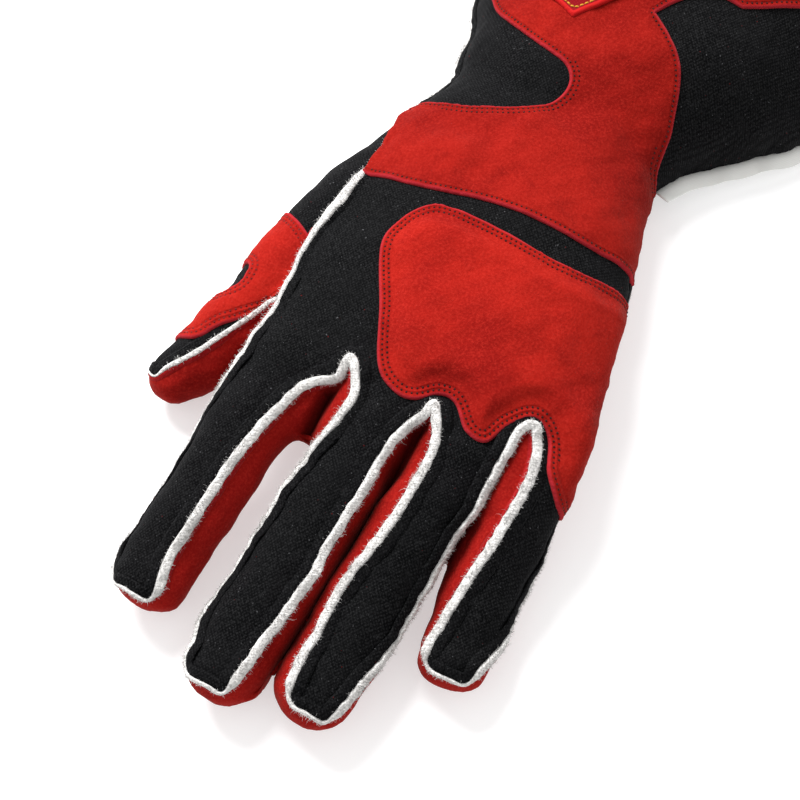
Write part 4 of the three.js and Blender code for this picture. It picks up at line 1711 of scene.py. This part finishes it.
def joined(name: str, parts: list[bpy.types.Object]) -> bpy.types.Object:
    """Several objects as one.

    Args:
        name: The new object's name.
        parts: The objects, whose materials are kept.

    Returns:
        The joined object.
    """
    with bpy.context.temp_override(active_object=parts[0], selected_editable_objects=parts):
        bpy.ops.object.join()
    parts[0].name = name
    parts[0].data.name = name
    return parts[0]


# Height and wavelength in millimetres, and seed, of the cloth's soft relief and of its puckers by a seam
SOFT_RELIEF = ((0.35, 22.0, 3), (0.16, 9.0, 5))
PUCKERS = (0.22, 5.0, 8)


@dataclass
class Panels:
    """The knit back, suede palm side, black gauntlet underside and white lining.

    crease_floor is how far over the middle finger's axis a crease between fingers ends, at the deepest.
    """

    form: GloveForm
    palette: Palette
    cloth_thick: float = 1.1
    lining_gap: float = 0.15
    lining_thick: float = 0.9
    lining_from: float = 16.0
    wrist: float = 112.0
    thumb_root: float = 38.0
    thumb_low: float = 15.0
    thumb_right: float = -38.0
    crease_depth: float = 7.5
    crease_wide: float = 1.9
    crease_floor: float = -2.0
    squeeze: float = 1.7
    skin: Cloth | None = None

    def creases(self, skin: Cloth, back: Array) -> Array:
        """Where the fingers' side walls turn in between the fingers; the suede takes painted shade there.

        Args:
            skin: The glove's skin.
            back: How far inside the knit back each point is.

        Returns:
            1 at the bottom of a crease, 0 away from it.
        """
        x, y, _ = skin.points.T
        fork = np.interp(x, self.form.fork_line[:, 0], self.form.fork_line[:, 1])
        beside = np.minimum.reduce([np.abs(x - self.form.gap(order, y)) for order in range(3)])
        upward = smooth_step(0.05, 0.5, skin.normals[:, 2])
        ahead = smooth_step(-1.0, 7.0, fork - y)
        return ahead * upward * np.exp(-((beside / self.crease_wide) ** 2)) * smooth_step(0.2, 1.6, -back)

    def squeezed(self, points: Array) -> Array:
        """Points with the side walls of the middle and ring fingers brought together, as they touch.

        Args:
            points: The points.

        Returns:
            The moved points.
        """
        x, y, z = points.T
        away = x - self.form.gap(1, y)
        along = smooth_step(-20.0, -34.0, y) * smooth_step(-102.0, -90.0, y)
        near = smooth_step(7.0, 3.0, np.abs(away)) * smooth_step(2.0, 6.0, z)
        step = np.minimum(self.squeeze * along * near, np.maximum(np.abs(away) - 0.15, 0.0))
        return np.column_stack([x - np.sign(away) * step, y, z])

    def shaped(self, voxel: float, passes: int) -> Cloth:
        """The skin with its soft relief and creases.

        Args:
            voxel: The step of its grid, in metres.
            passes: How many smoothing passes it gets.

        Returns:
            The skin, with its values: how far inside the back and thumb panels each point is, and the
            creases.
        """
        skin = self.form.skin(0.0, voxel, passes)
        back = self.form.back(skin.points)
        x, y, z = skin.points.T
        root = np.minimum.reduce(
            [y - self.thumb_root, z - self.thumb_low, self.thumb_right - x, self.wrist - y - 2.0]
        )
        thumb = np.minimum(np.maximum(self.form.digits["thumb"].back(skin.points), root), -back)
        crease = self.creases(skin, back)
        near = np.exp(-np.minimum(np.abs(back), np.abs(thumb)) / 5.0)
        relief = sum(high * ripple(skin.points, size, seed) for high, size, seed in SOFT_RELIEF)
        high, size, seed = PUCKERS
        relief += high * near * ripple(skin.points, size, seed)
        above_floor = smooth_step(0.5, 6.0, z)
        skin = skin.moved(relief * above_floor)
        height = skin.points[:, 2]
        middle = self.form.digits["middle"].stations[::-1]
        floor = np.interp(skin.points[:, 1], middle[:, 1], middle[:, 2]) + self.crease_floor
        skin.points[:, 2] = np.maximum(height - self.crease_depth * crease, np.minimum(height, floor))
        skin.points = self.squeezed(skin.points)
        skin.normals = face_normals(skin.points, skin.faces)
        skin.values = {"back": back, "thumb": thumb, "crease": crease}
        return skin

    def prepare(self) -> Cloth:
        """Makes the skin that all pieces of cloth share."""
        self.skin = self.shaped(VOXEL, 5)
        return self.skin

    def build(self) -> None:
        """Makes the cloth pieces."""
        skin = self.skin
        back, thumb = skin.values["back"], skin.values["thumb"]
        front = np.minimum(-back, -thumb)
        wrist = self.wrist - skin.points[:, 1]
        fronts = ("palm", "index_front", "middle_front", "ring_front", "little_front", "thumb_front")
        plan = (
            ("knit_back", "knit", self.palette.knit, back, ("back_panel",)),
            ("knit_thumb_back", "knit", self.palette.knit, thumb, ("thumb_back",)),
            ("suede_palm_side", "suede", self.palette.suede, np.minimum(front, wrist), fronts),
            ("knit_underside", "knit", self.palette.knit, np.minimum(front, -wrist), ("gauntlet_underside",)),
        )
        for name, slot, material, level, nodes in plan:
            part = skin.clipped(level)
            # The value crease rides along for the suede's painted shade in the creases.
            part.values = {"crease": part.values["crease"]}
            wall = part.thickened(0.0, -self.cloth_thick)
            settle(cloth_object(name, wall, material), slot, *nodes)
        outer_side = -self.cloth_thick - self.lining_gap
        inner = skin.clipped(skin.points[:, 1] - self.lining_from)
        inner.values = {}
        lining = inner.thickened(outer_side, outer_side - self.lining_thick)
        settle(cloth_object("hand_lining", lining, self.palette.fleece), "lining")


# Place along the glove, and the relative width of the white edge there
WELT_WIDTHS = {
    "hand_side_seam": table(
        (-14, 1), (-4, 0.62), (34, 0.62), (46, 1.1), (55, 0.9), (62, 0.45), (90, 0.4), (96, 0.9)
    ),
    "little_side_seam": table((-22, 0.9), (-9, 0.12)),
    "thumb_seam": table((-30, 0.5), (40, 0.62)),
}


@dataclass
class Seams:
    """The raw seam edges that stand out: white fleece between a black knit edge and a red suede edge."""

    form: GloveForm
    panels: Panels
    workshop: Workshop
    half: float = 1.5
    height: float = 2.1
    knit_edge: float = 2.6
    knit_high: float = 1.35
    suede_edge: float = 1.3
    suede_high: float = 1.35
    ridge_spacing: float = 1.0
    label_from: float = 110.0
    suede_until: float = 36.0
    behind_fingers: float = 60.0
    hand_middle: float = 10.0
    thumb_clear: float = 2.2
    shortest: float = 10.0
    easing: int = 10

    def shares(self, name: str, line: Line) -> Array:
        """How wide the white edge shows along a seam.

        Args:
            name: The seam's node.
            line: The seam.

        Returns:
            Its relative width at each station.
        """
        wide = 1.0 - 0.55 * self.tip_closeness(line.points)
        if name in WELT_WIDTHS:
            widths = WELT_WIDTHS[name]
            wide *= np.interp(line.points[:, 1], widths[:, 0], widths[:, 1])
        return wide

    def lining_strip(self, line: Line, wide: Array, seed: int) -> tuple[Array, Array]:
        """The fleece's standing edge, faintly ribbed and frayed.

        Args:
            line: The seam.
            wide: The edge's relative width at each station; where it is narrow it is low as well.
            seed: The seed of its roughness.

        Returns:
            Points and triangles.
        """
        outline = table(
            (-1.0, -0.4), (-1.02, 0.15), (-0.98, 0.6), (-0.85, 0.86), (-0.5, 0.95), (-0.17, 0.98),
            (0.17, 1.0), (0.5, 0.98), (0.85, 0.88), (0.98, 0.6), (1.02, 0.15), (1.0, -0.4),
        )
        section = np.repeat((outline * np.array([self.half, self.height]))[None], len(line.points), axis=0)
        section[..., 0] *= wide[:, None]
        section[..., 1] *= np.where(section[..., 1] > 0, np.minimum(0.3 + 0.7 * wide, 1.05)[:, None], 1.0)
        _, left, out = line.frames()
        places = line.points[:, None] + left[:, None] * section[..., :1] + out[:, None] * section[..., 1:]
        flat = places.reshape(-1, 3)
        rough = 0.12 * ripple(flat, 1.2, seed) + 0.16 * ripple(flat, 5.5, seed + 1)
        slanted = line.run()[:, None] / self.ridge_spacing + section[..., 0] * 0.5
        ridges = 0.07 * np.cos(2 * np.pi * slanted)
        push = (rough.reshape(ridges.shape) + ridges) * np.clip(outline[:, 1] * 2.0, 0.0, 1.0)
        sideways = 1.0 + 0.12 * ripple(flat, 4.5, seed + 2).reshape(ridges.shape)
        section[..., 0] *= np.where(outline[:, 1] > 0, sideways, 1.0)
        return swept(line, section, push * np.minimum(wide, 1.0)[:, None])

    def raw_edge(self, line: Line, start: Array, wide: float, high: Array, seed: int) -> tuple[Array, Array]:
        """The outer cloth's raw edge beside the fleece: it stands up and slopes down onto its panel.

        Args:
            line: The seam.
            start: Its side towards the fleece at each station, in millimetres to the left of the seam.
            wide: How far it slopes, to the left if above zero.
            high: Its height at each station.
            seed: The seed of its roughness.

        Returns:
            Points and triangles.
        """
        outline = table(
            (0, -0.6), (0, 0.5), (0.06, 0.85), (0.22, 1.0), (0.55, 0.55), (1.0, 0.04), (1.2, -0.5)
        )
        section = np.repeat(outline[None], len(line.points), axis=0)
        section = np.stack([start[:, None] + wide * section[..., 0], section[..., 1] * high[:, None]], axis=2)
        _, left, _ = line.frames()
        flat = (line.points[:, None] + left[:, None] * section[..., :1]).reshape(-1, 3)
        push = 0.12 * ripple(flat, 3.4, seed) + 0.06 * ripple(flat, 1.2, seed + 1)
        return swept(line, section, push.reshape(section.shape[:2]) * (outline[:, 1] > 0.3))

    def seam_lines(self) -> dict[str, Line]:
        """The seams' paths on the skin, one for each piece.

        Returns:
            The paths by the node's name.
        """
        skin = self.panels.skin
        between = ("index_middle_seam", "middle_ring_seam", "ring_little_seam")
        names = ("hand_side_seam", *between, "little_side_seam")
        around = skin.contours(skin.values["back"])[0].resampled(STEP).smoothed(self.easing)
        x, y, _ = around.points.T
        zone = sum((x > self.form.axis_x(name, y)).astype(int) for name in FINGERS)
        zone = np.where(y > self.behind_fingers, np.where(x > self.hand_middle, 4, 0), zone)
        lines = {}
        for number, name in enumerate(names):
            keep = zone == number
            keep |= np.roll(keep, 1) | np.roll(keep, -1)
            if number == 4:
                keep &= y < self.label_from
            lines[name] = self.longest(around, keep)
        lines["side_label"] = self.longest(around, (zone == 4) & (y > self.label_from + 0.3))
        thumb = skin.contours(np.minimum(skin.values["thumb"], -skin.values["back"] - 1.0))[0]
        thumb = thumb.resampled(STEP).smoothed(self.easing)
        clear = self.form.back(thumb.points) < -self.thumb_clear
        lines["thumb_seam"] = self.longest(thumb, clear)
        return lines

    def longest(self, line: Line, keep: Array) -> Line:
        """The longest stretch of a path where a test holds.

        Args:
            line: The path.
            keep: True at the points to keep.

        Returns:
            The stretch.
        """
        return max(line.parts(keep, self.shortest), key=Line.length)

    def tip_closeness(self, points: Array) -> Array:
        """How near points are to the front end of a digit's back.

        Args:
            points: The points.

        Returns:
            1 at a digit's end, 0 from 5 mm behind it.
        """
        closest = np.full(len(points), 99.0)
        for digit in self.form.digits.values():
            _, reach, before_tip, _ = digit.place(points)
            closest = np.minimum(closest, np.where(reach < 1.6, np.abs(before_tip), 99.0))
        return 1.0 - smooth_step(1.5, 5.0, closest)

    def build(self) -> None:
        """Makes the seam pieces, their fibres and the side label."""
        lines = self.seam_lines()
        palette, workshop = self.workshop.palette, self.workshop
        knit_edges, suede_edges = [], []
        for number, (name, line) in enumerate(lines.items()):
            LOG.info("%s: %.0f mm", name, line.length())
            if name == "side_label":
                self.build_label(line)
                continue
            wide = self.shares(name, line)
            strip = self.lining_strip(line, wide, 20 + number)
            cloth = Cloth(*strip, face_normals(*strip))
            parts = [cloth_object(name.replace("seam", "welt"), cloth, palette.fleece)]
            cloth.values = {"tuft": self.tufts(cloth, line, wide)}
            for growth in (FLEECE_NAP, FLEECE_CURLS):
                parts.append(workshop.fuzz("fleece_fibres", cloth, palette.fleece, growth, 40 + number))
            settle(joined(name.replace("seam", "welt"), parts), "lining", name)
            low = np.minimum(0.35 + 0.65 * wide, 1.0)
            inner = self.half * wide - 0.1
            black = self.raw_edge(line, inner, self.knit_edge, self.knit_high * low, 60 + number)
            knit_edges.append(Cloth(*black, face_normals(*black)))
            red_here = (name != "hand_side_seam") | (line.points[:, 1] < self.suede_until)
            beside = Line(line.points[red_here], line.normals[red_here])
            high = (self.suede_high * low)[red_here]
            red = self.raw_edge(beside, -inner[red_here], -self.suede_edge, high, 80 + number)
            suede_edges.append(Cloth(*red, face_normals(*red)))
        black_parts = [
            cloth_object(f"black_edge_{i}", edge, palette.knit) for i, edge in enumerate(knit_edges)
        ]
        for i, edge in enumerate(knit_edges):
            edge.values = {"tuft": np.ones(len(edge.points))}
            black_parts.append(workshop.fuzz(f"black_fuzz_{i}", edge, palette.knit, KNIT_NAP, 90 + i))
        settle(joined("knit_raw_edges", black_parts), "knit")
        red_parts = [
            cloth_object(f"red_edge_{i}", edge, palette.raw_red) for i, edge in enumerate(suede_edges)
        ]
        settle(joined("suede_raw_edges", red_parts), "suede")

    def tufts(self, cloth: Cloth, line: Line, wide: Array) -> Array:
        """Where the fleece frays: on its upper side, more in some places and less where it is narrow.

        Args:
            cloth: The fleece's strip.
            line: The seam.
            wide: The strip's relative width at each station.

        Returns:
            A value for each point.
        """
        sides = 12
        stations = np.minimum(np.arange(len(cloth.points)) // sides, len(line.points) - 1)
        out = line.frames()[2][stations]
        upward = (cloth.normals * out).sum(axis=1)
        patchy = 0.6 + 0.9 * smooth_step(-0.2, 0.9, ripple(cloth.points, 14.0, 15))
        return smooth_step(0.0, 0.5, upward) * patchy * smooth_step(0.2, 0.6, wide)[stations]

    def build_label(self, line: Line) -> None:
        """Makes the bare white tape along the gauntlet's side seam.

        Args:
            line: Its path.
        """
        outline = table(
            (-0.35, -0.4), (-0.4, 2.0), (-0.35, 5.2), (0.0, 5.35), (0.35, 5.2), (0.4, 2.0), (0.35, -0.4)
        )
        waves = 0.25 * ripple(line.points, 18.0, 31)
        section = np.repeat(outline[None], len(line.points), axis=0)
        section[..., 0] += waves[:, None] * np.clip(outline[:, 1] / 3.0, 0.0, 1.0)
        points, faces = swept(line, section)
        made = make_object("side_tape", points, faces, self.workshop.palette.label)
        settle(made, "label", "side_label")


@dataclass
class Patch:
    """A piece of suede sewn on the back, with its outline in plan."""

    name: str
    node: str
    slot: str
    outline: Outline
    rows: tuple[float, ...]
    second_row: Outline = field(default_factory=list)
    thick: float = 1.25
    pad: float = 0.0
    lifted: float = 0.0
    wrinkle: float = 0.2
    rolled: float = 0.0
    dashed: bool = False

    def build(
        self,
        skin: Cloth,
        inside: Array,
        workshop: Workshop,
        material: bpy.types.Material,
        thread: bpy.types.Material,
    ) -> None:
        """Makes the patch and its rows of stitches.

        Args:
            skin: The glove's skin.
            inside: How far inside the panel that carries the patch each point of the skin is.
            workshop: The shared tools.
            material: The patch's finish.
            thread: The stitches' finish.
        """
        path = rounded(self.outline)
        plan = skin.points[:, :2]
        signed = distance_to_path(plan, path, closed=True) * np.where(inside_path(plan, path), 1.0, -1.0)
        part = Cloth(skin.points, skin.faces, skin.normals, {"inside": inside})
        part.values["edge"] = signed
        part = part.clipped(np.minimum(signed + 3.0, inside + self.past_seam(part.points) + 0.5)).refined()
        plan = part.points[:, :2]
        signed = distance_to_path(plan, path, closed=True) * np.where(inside_path(plan, path), 1.0, -1.0)
        part.values["edge"] = signed
        part = part.clipped(np.minimum(signed, part.values["inside"] + self.past_seam(part.points)))
        edge, inner = part.values["edge"], part.values["inside"]
        height = self.lifted + self.height(edge, inner, part.points)
        lines = []
        for row in self.rows:
            keep = np.minimum(edge - row, inner - 2.2)
            for line in part.moved(height).contours(keep):
                line = line.resampled(0.8).smoothed(4)
                lines.extend(self.drawn(line, path, row))
        if self.second_row:
            lines = [part for line in lines for part in self.kept_rows(line, path)]
        edge_value = np.maximum(edge, 0.0)
        part.values = {"edge": edge_value}
        solid = part.thickened(height, self.lifted + 0.05)
        made = cloth_object(self.name, solid, material)
        settle(made, self.slot, self.node)
        if lines:
            workshop.stitched(f"{self.name}_stitches", self.slot, lines, thread, self.dashed)

    def past_seam(self, points: Array) -> Array:
        """How far the patch reaches past its panel's seam: over it at the rolled end by the wrist.

        Args:
            points: The points.

        Returns:
            The distance at each point in millimetres, below zero where the patch stops short of the seam.
        """
        over = (points[:, 0] < 0.0) & (points[:, 1] < 100.0)
        return np.where(over & (self.rolled > 0), self.rolled, -0.6)

    def kept_rows(self, line: Line, path: Array) -> list[Line]:
        """The stretches of a stitched line that are in the first row, or where the second row runs.

        Args:
            line: The line.
            path: The outline.

        Returns:
            The stretches.
        """
        plan = line.points[:, :2]
        first = distance_to_path(plan, path, closed=True) < (self.rows[0] + self.rows[-1]) / 2
        return line.parts(first | inside_path(plan, np.array(self.second_row, dtype=float)[:, :2]), 4.0)

    def drawn(self, line: Line, path: Array, row: float) -> list[Line]:
        """The stretches of a row that follow the outline and not the panel's seam.

        Args:
            line: A contour.
            path: The outline.
            row: The row's distance from the outline.

        Returns:
            The stretches.
        """
        away = distance_to_path(line.points[:, :2], path, closed=True)
        return line.parts(away < row + 0.5, 4.0)

    def height(self, edge: Array, inner: Array, points: Array) -> Array:
        """The patch's height over the skin.

        Args:
            edge: Distance from the outline.
            inner: Distance from the panel's seam.
            points: The points.

        Returns:
            The height at each point.
        """
        total = self.thick * smooth_step(-0.3, 0.5, edge)
        for row in self.rows:
            total -= 0.14 * np.exp(-(((edge - row) / 0.45) ** 2))
        total += np.where(self.past_seam(points) > 0, 0.8 * np.exp(-(((inner - 0.4) / 1.5) ** 2)), 0.0)
        last = max(self.rows, default=0.0)
        raised = smooth_step(last + 0.1, last + 7.0, edge) * smooth_step(1.0, 10.0, inner)
        total += self.pad * raised * (1.0 + 0.10 * ripple(points, 26.0, 61))
        return total + self.wrinkle * smooth_step(2.0, 8.0, edge) * ripple(points, 16.0, 62)


PATCHES = {
    "hand": Patch("padded_hand_patch", "hand_patch", "patch_suede", [
        (-20, 54.8, 0), (-25.6, 46.4, 0), (-26.6, 36, 0), (-16.4, 16.9, 0), (-8.4, 1.5, 0), (-0.6, -3.8, 0),
        (6.4, -3.6, 0), (12.4, 1.4, 0), (17.8, 1.2, 0), (24.5, -4.8, 0), (31, -4.6, 0), (34.6, 3.4, 0),
        (40, 9.4, 0), (46, 6.6, 0), (50.5, -2.5, 0), (57.4, -9.2, 1), (68, -9.2, 1), (68, 64.5, 1),
        (45.5, 63.2, 1), (25.3, 57.4, 0), (1.2, 57.6, 0), (-13, 57.2, 0),
    ], Row.DOUBLE.value, pad=2.4, wrinkle=0.1),
    "cuff": Patch("cuff_suede", "cuff_patch", "patch_suede", [
        (-44.6, 58.6, 1), (-24.6, 60.2, 0), (-4, 64.8, 0), (12.9, 66.4, 0), (28, 67.5, 0), (41, 70.5, 1),
        (60, 74, 1), (60, 104, 1), (35.2, 108, 0), (31.4, 123, 0), (26, 138, 0), (17.5, 146.6, 0),
        (10, 151.4, 1), (15.9, 160, 0), (24, 165.6, 0), (33.5, 166.6, 1), (58, 182, 0), (92, 196, 1),
        (130, 240, 1), (-90, 240, 1), (-80, 160, 1), (-50, 147, 0), (-36.5, 134, 0), (-20, 126.6, 0),
        (-6.4, 122, 0), (-3.8, 114, 0), (-11, 104.2, 0), (-28, 96, 0), (-43, 93, 0), (-54, 88, 1),
        (-54, 60, 1),
    ], Row.DOUBLE.value, second_row=[
        (-36, 84, 1), (-10, 92, 1), (10, 108, 1), (8, 127, 1), (-5, 125, 1), (-20, 106, 1), (-36, 100, 1),
    ], wrinkle=0.35, rolled=0.3),
    "thumb": Patch("thumb_suede", "thumb_patch", "patch_suede", [
        (-90, 42, 1), (-62.7, 39.8, 1), (-46, 30.2, 1), (-42, 9, 1), (-48, 9.6, 1), (-55.8, 0.4, 0),
        (-61.2, -5.2, 0), (-65.6, -10.8, 0), (-72, -12, 0), (-90, -9, 1), (-90, 4, 1), (-71, 5, 0),
        (-64.4, 8.4, 0), (-62.4, 13.4, 0), (-66, 18.6, 0), (-90, 20, 1),
    ], Row.DOUBLE.value),
    "badge": Patch("badge_cloth", "badge", "badge", [
        (-12.9, 138.5, 1), (6.2, 161.6, 1), (-15.6, 171.6, 1), (-34.7, 148.5, 1),
    ], (2.3,), thick=1.3, lifted=1.35, wrinkle=0.0, dashed=True),
}


@dataclass
class Studio:
    """The bright floor, soft light from the upper left and the camera at the photograph's angle."""

    azimuth: float = 29.0
    elevation: float = 66.0
    distance: float = 0.560
    lens: float = 83.25
    target: Triple = (-0.01287, -0.06191, 0.025)
    paper: Triple = (0.6, 0.6, 0.6)
    paper_light: Triple = (0.605, 0.605, 0.605)
    paper_glow: float = 0.5
    floor_half: float = 4.0
    sky: float = 0.84

    def camera(self) -> None:
        """Makes the camera."""
        turn, rise = np.radians(self.azimuth), np.radians(self.elevation)
        back = Vector((np.sin(turn) * np.cos(rise), -np.cos(turn) * np.cos(rise), np.sin(rise)))
        data = bpy.data.cameras.new("camera")
        data.lens = self.lens
        data.sensor_width = 36.0
        data.clip_start = 0.02
        made = bpy.data.objects.new("camera", data)
        made.location = Vector(self.target) + back * self.distance
        made.rotation_euler = (-back).to_track_quat("-Z", "Y").to_euler()
        bpy.context.scene.collection.objects.link(made)
        bpy.context.scene.camera = made

    def light(self, name: str, place: Triple, size: float, power: float) -> None:
        """Makes a soft lamp that looks at the glove.

        Args:
            name: Its name.
            place: Where it is, in metres.
            size: Its width.
            power: Its power in watts.
        """
        data = bpy.data.lights.new(name, "AREA")
        data.shape = "DISK"
        data.size = size
        data.energy = power
        made = bpy.data.objects.new(name, data)
        made.location = place
        made.rotation_euler = (Vector(self.target) - Vector(place)).to_track_quat("-Z", "Y").to_euler()
        bpy.context.scene.collection.objects.link(made)

    def build(self) -> None:
        """Makes floor, light and camera."""
        self.camera()
        sketch = Sketch("floor")
        cloudy = sketch.ramp(sketch.noise(60.0), 0.3, 0.7)
        material = sketch.finish(sketch.mixed(cloudy, self.paper, self.paper_light), 0.9, specular=0.1)
        sketch.shader.inputs["Emission Color"].default_value = (1.0, 1.0, 1.0, 1.0)
        sketch.shader.inputs["Emission Strength"].default_value = self.paper_glow
        corners = self.floor_half * np.array([(-1, -1), (1, -1), (1, 1), (-1, 1)])
        points = np.column_stack([corners, np.full(4, -0.0002)]) * 1000.0 + FOOTPRINT_CENTRE
        floor = make_object("floor", points, np.array([[0, 1, 2, 3]]), material)
        world = bpy.data.worlds.new("studio")
        world.use_nodes = True
        background = world.node_tree.nodes["Background"]
        background.inputs["Color"].default_value = (1.0, 1.0, 1.0, 1.0)
        background.inputs["Strength"].default_value = self.sky
        bpy.context.scene.world = world
        self.light("key", (-0.72, 0.46, 0.92), 0.75, 37.0)
        bpy.context.scene.view_settings.view_transform = "Standard"


def main() -> None:
    """Builds the glove's sub-assemblies in order, then the studio."""
    logging.basicConfig(level=logging.INFO, format="%(name)s %(message)s")
    palette = Palette()
    workshop = Workshop(palette)
    Studio().build()
    panels = Panels(GLOVE, palette)
    skin = panels.prepare()
    panels.build()
    Seams(GLOVE, panels, workshop).build()
    back, thumb = skin.values["back"], skin.values["thumb"]
    finishes = {
        "hand": (back, palette.patch_double, palette.hole),
        "cuff": (back, palette.patch_single, palette.hole),
        "thumb": (thumb, palette.patch_double, palette.red_thread),
        "badge": (back, palette.badge, palette.yellow),
    }
    for name, (inside, material, thread) in finishes.items():
        PATCHES[name].build(skin, inside, workshop, material, thread)
    workshop.clear()


if __name__ == "__main__":
    main()
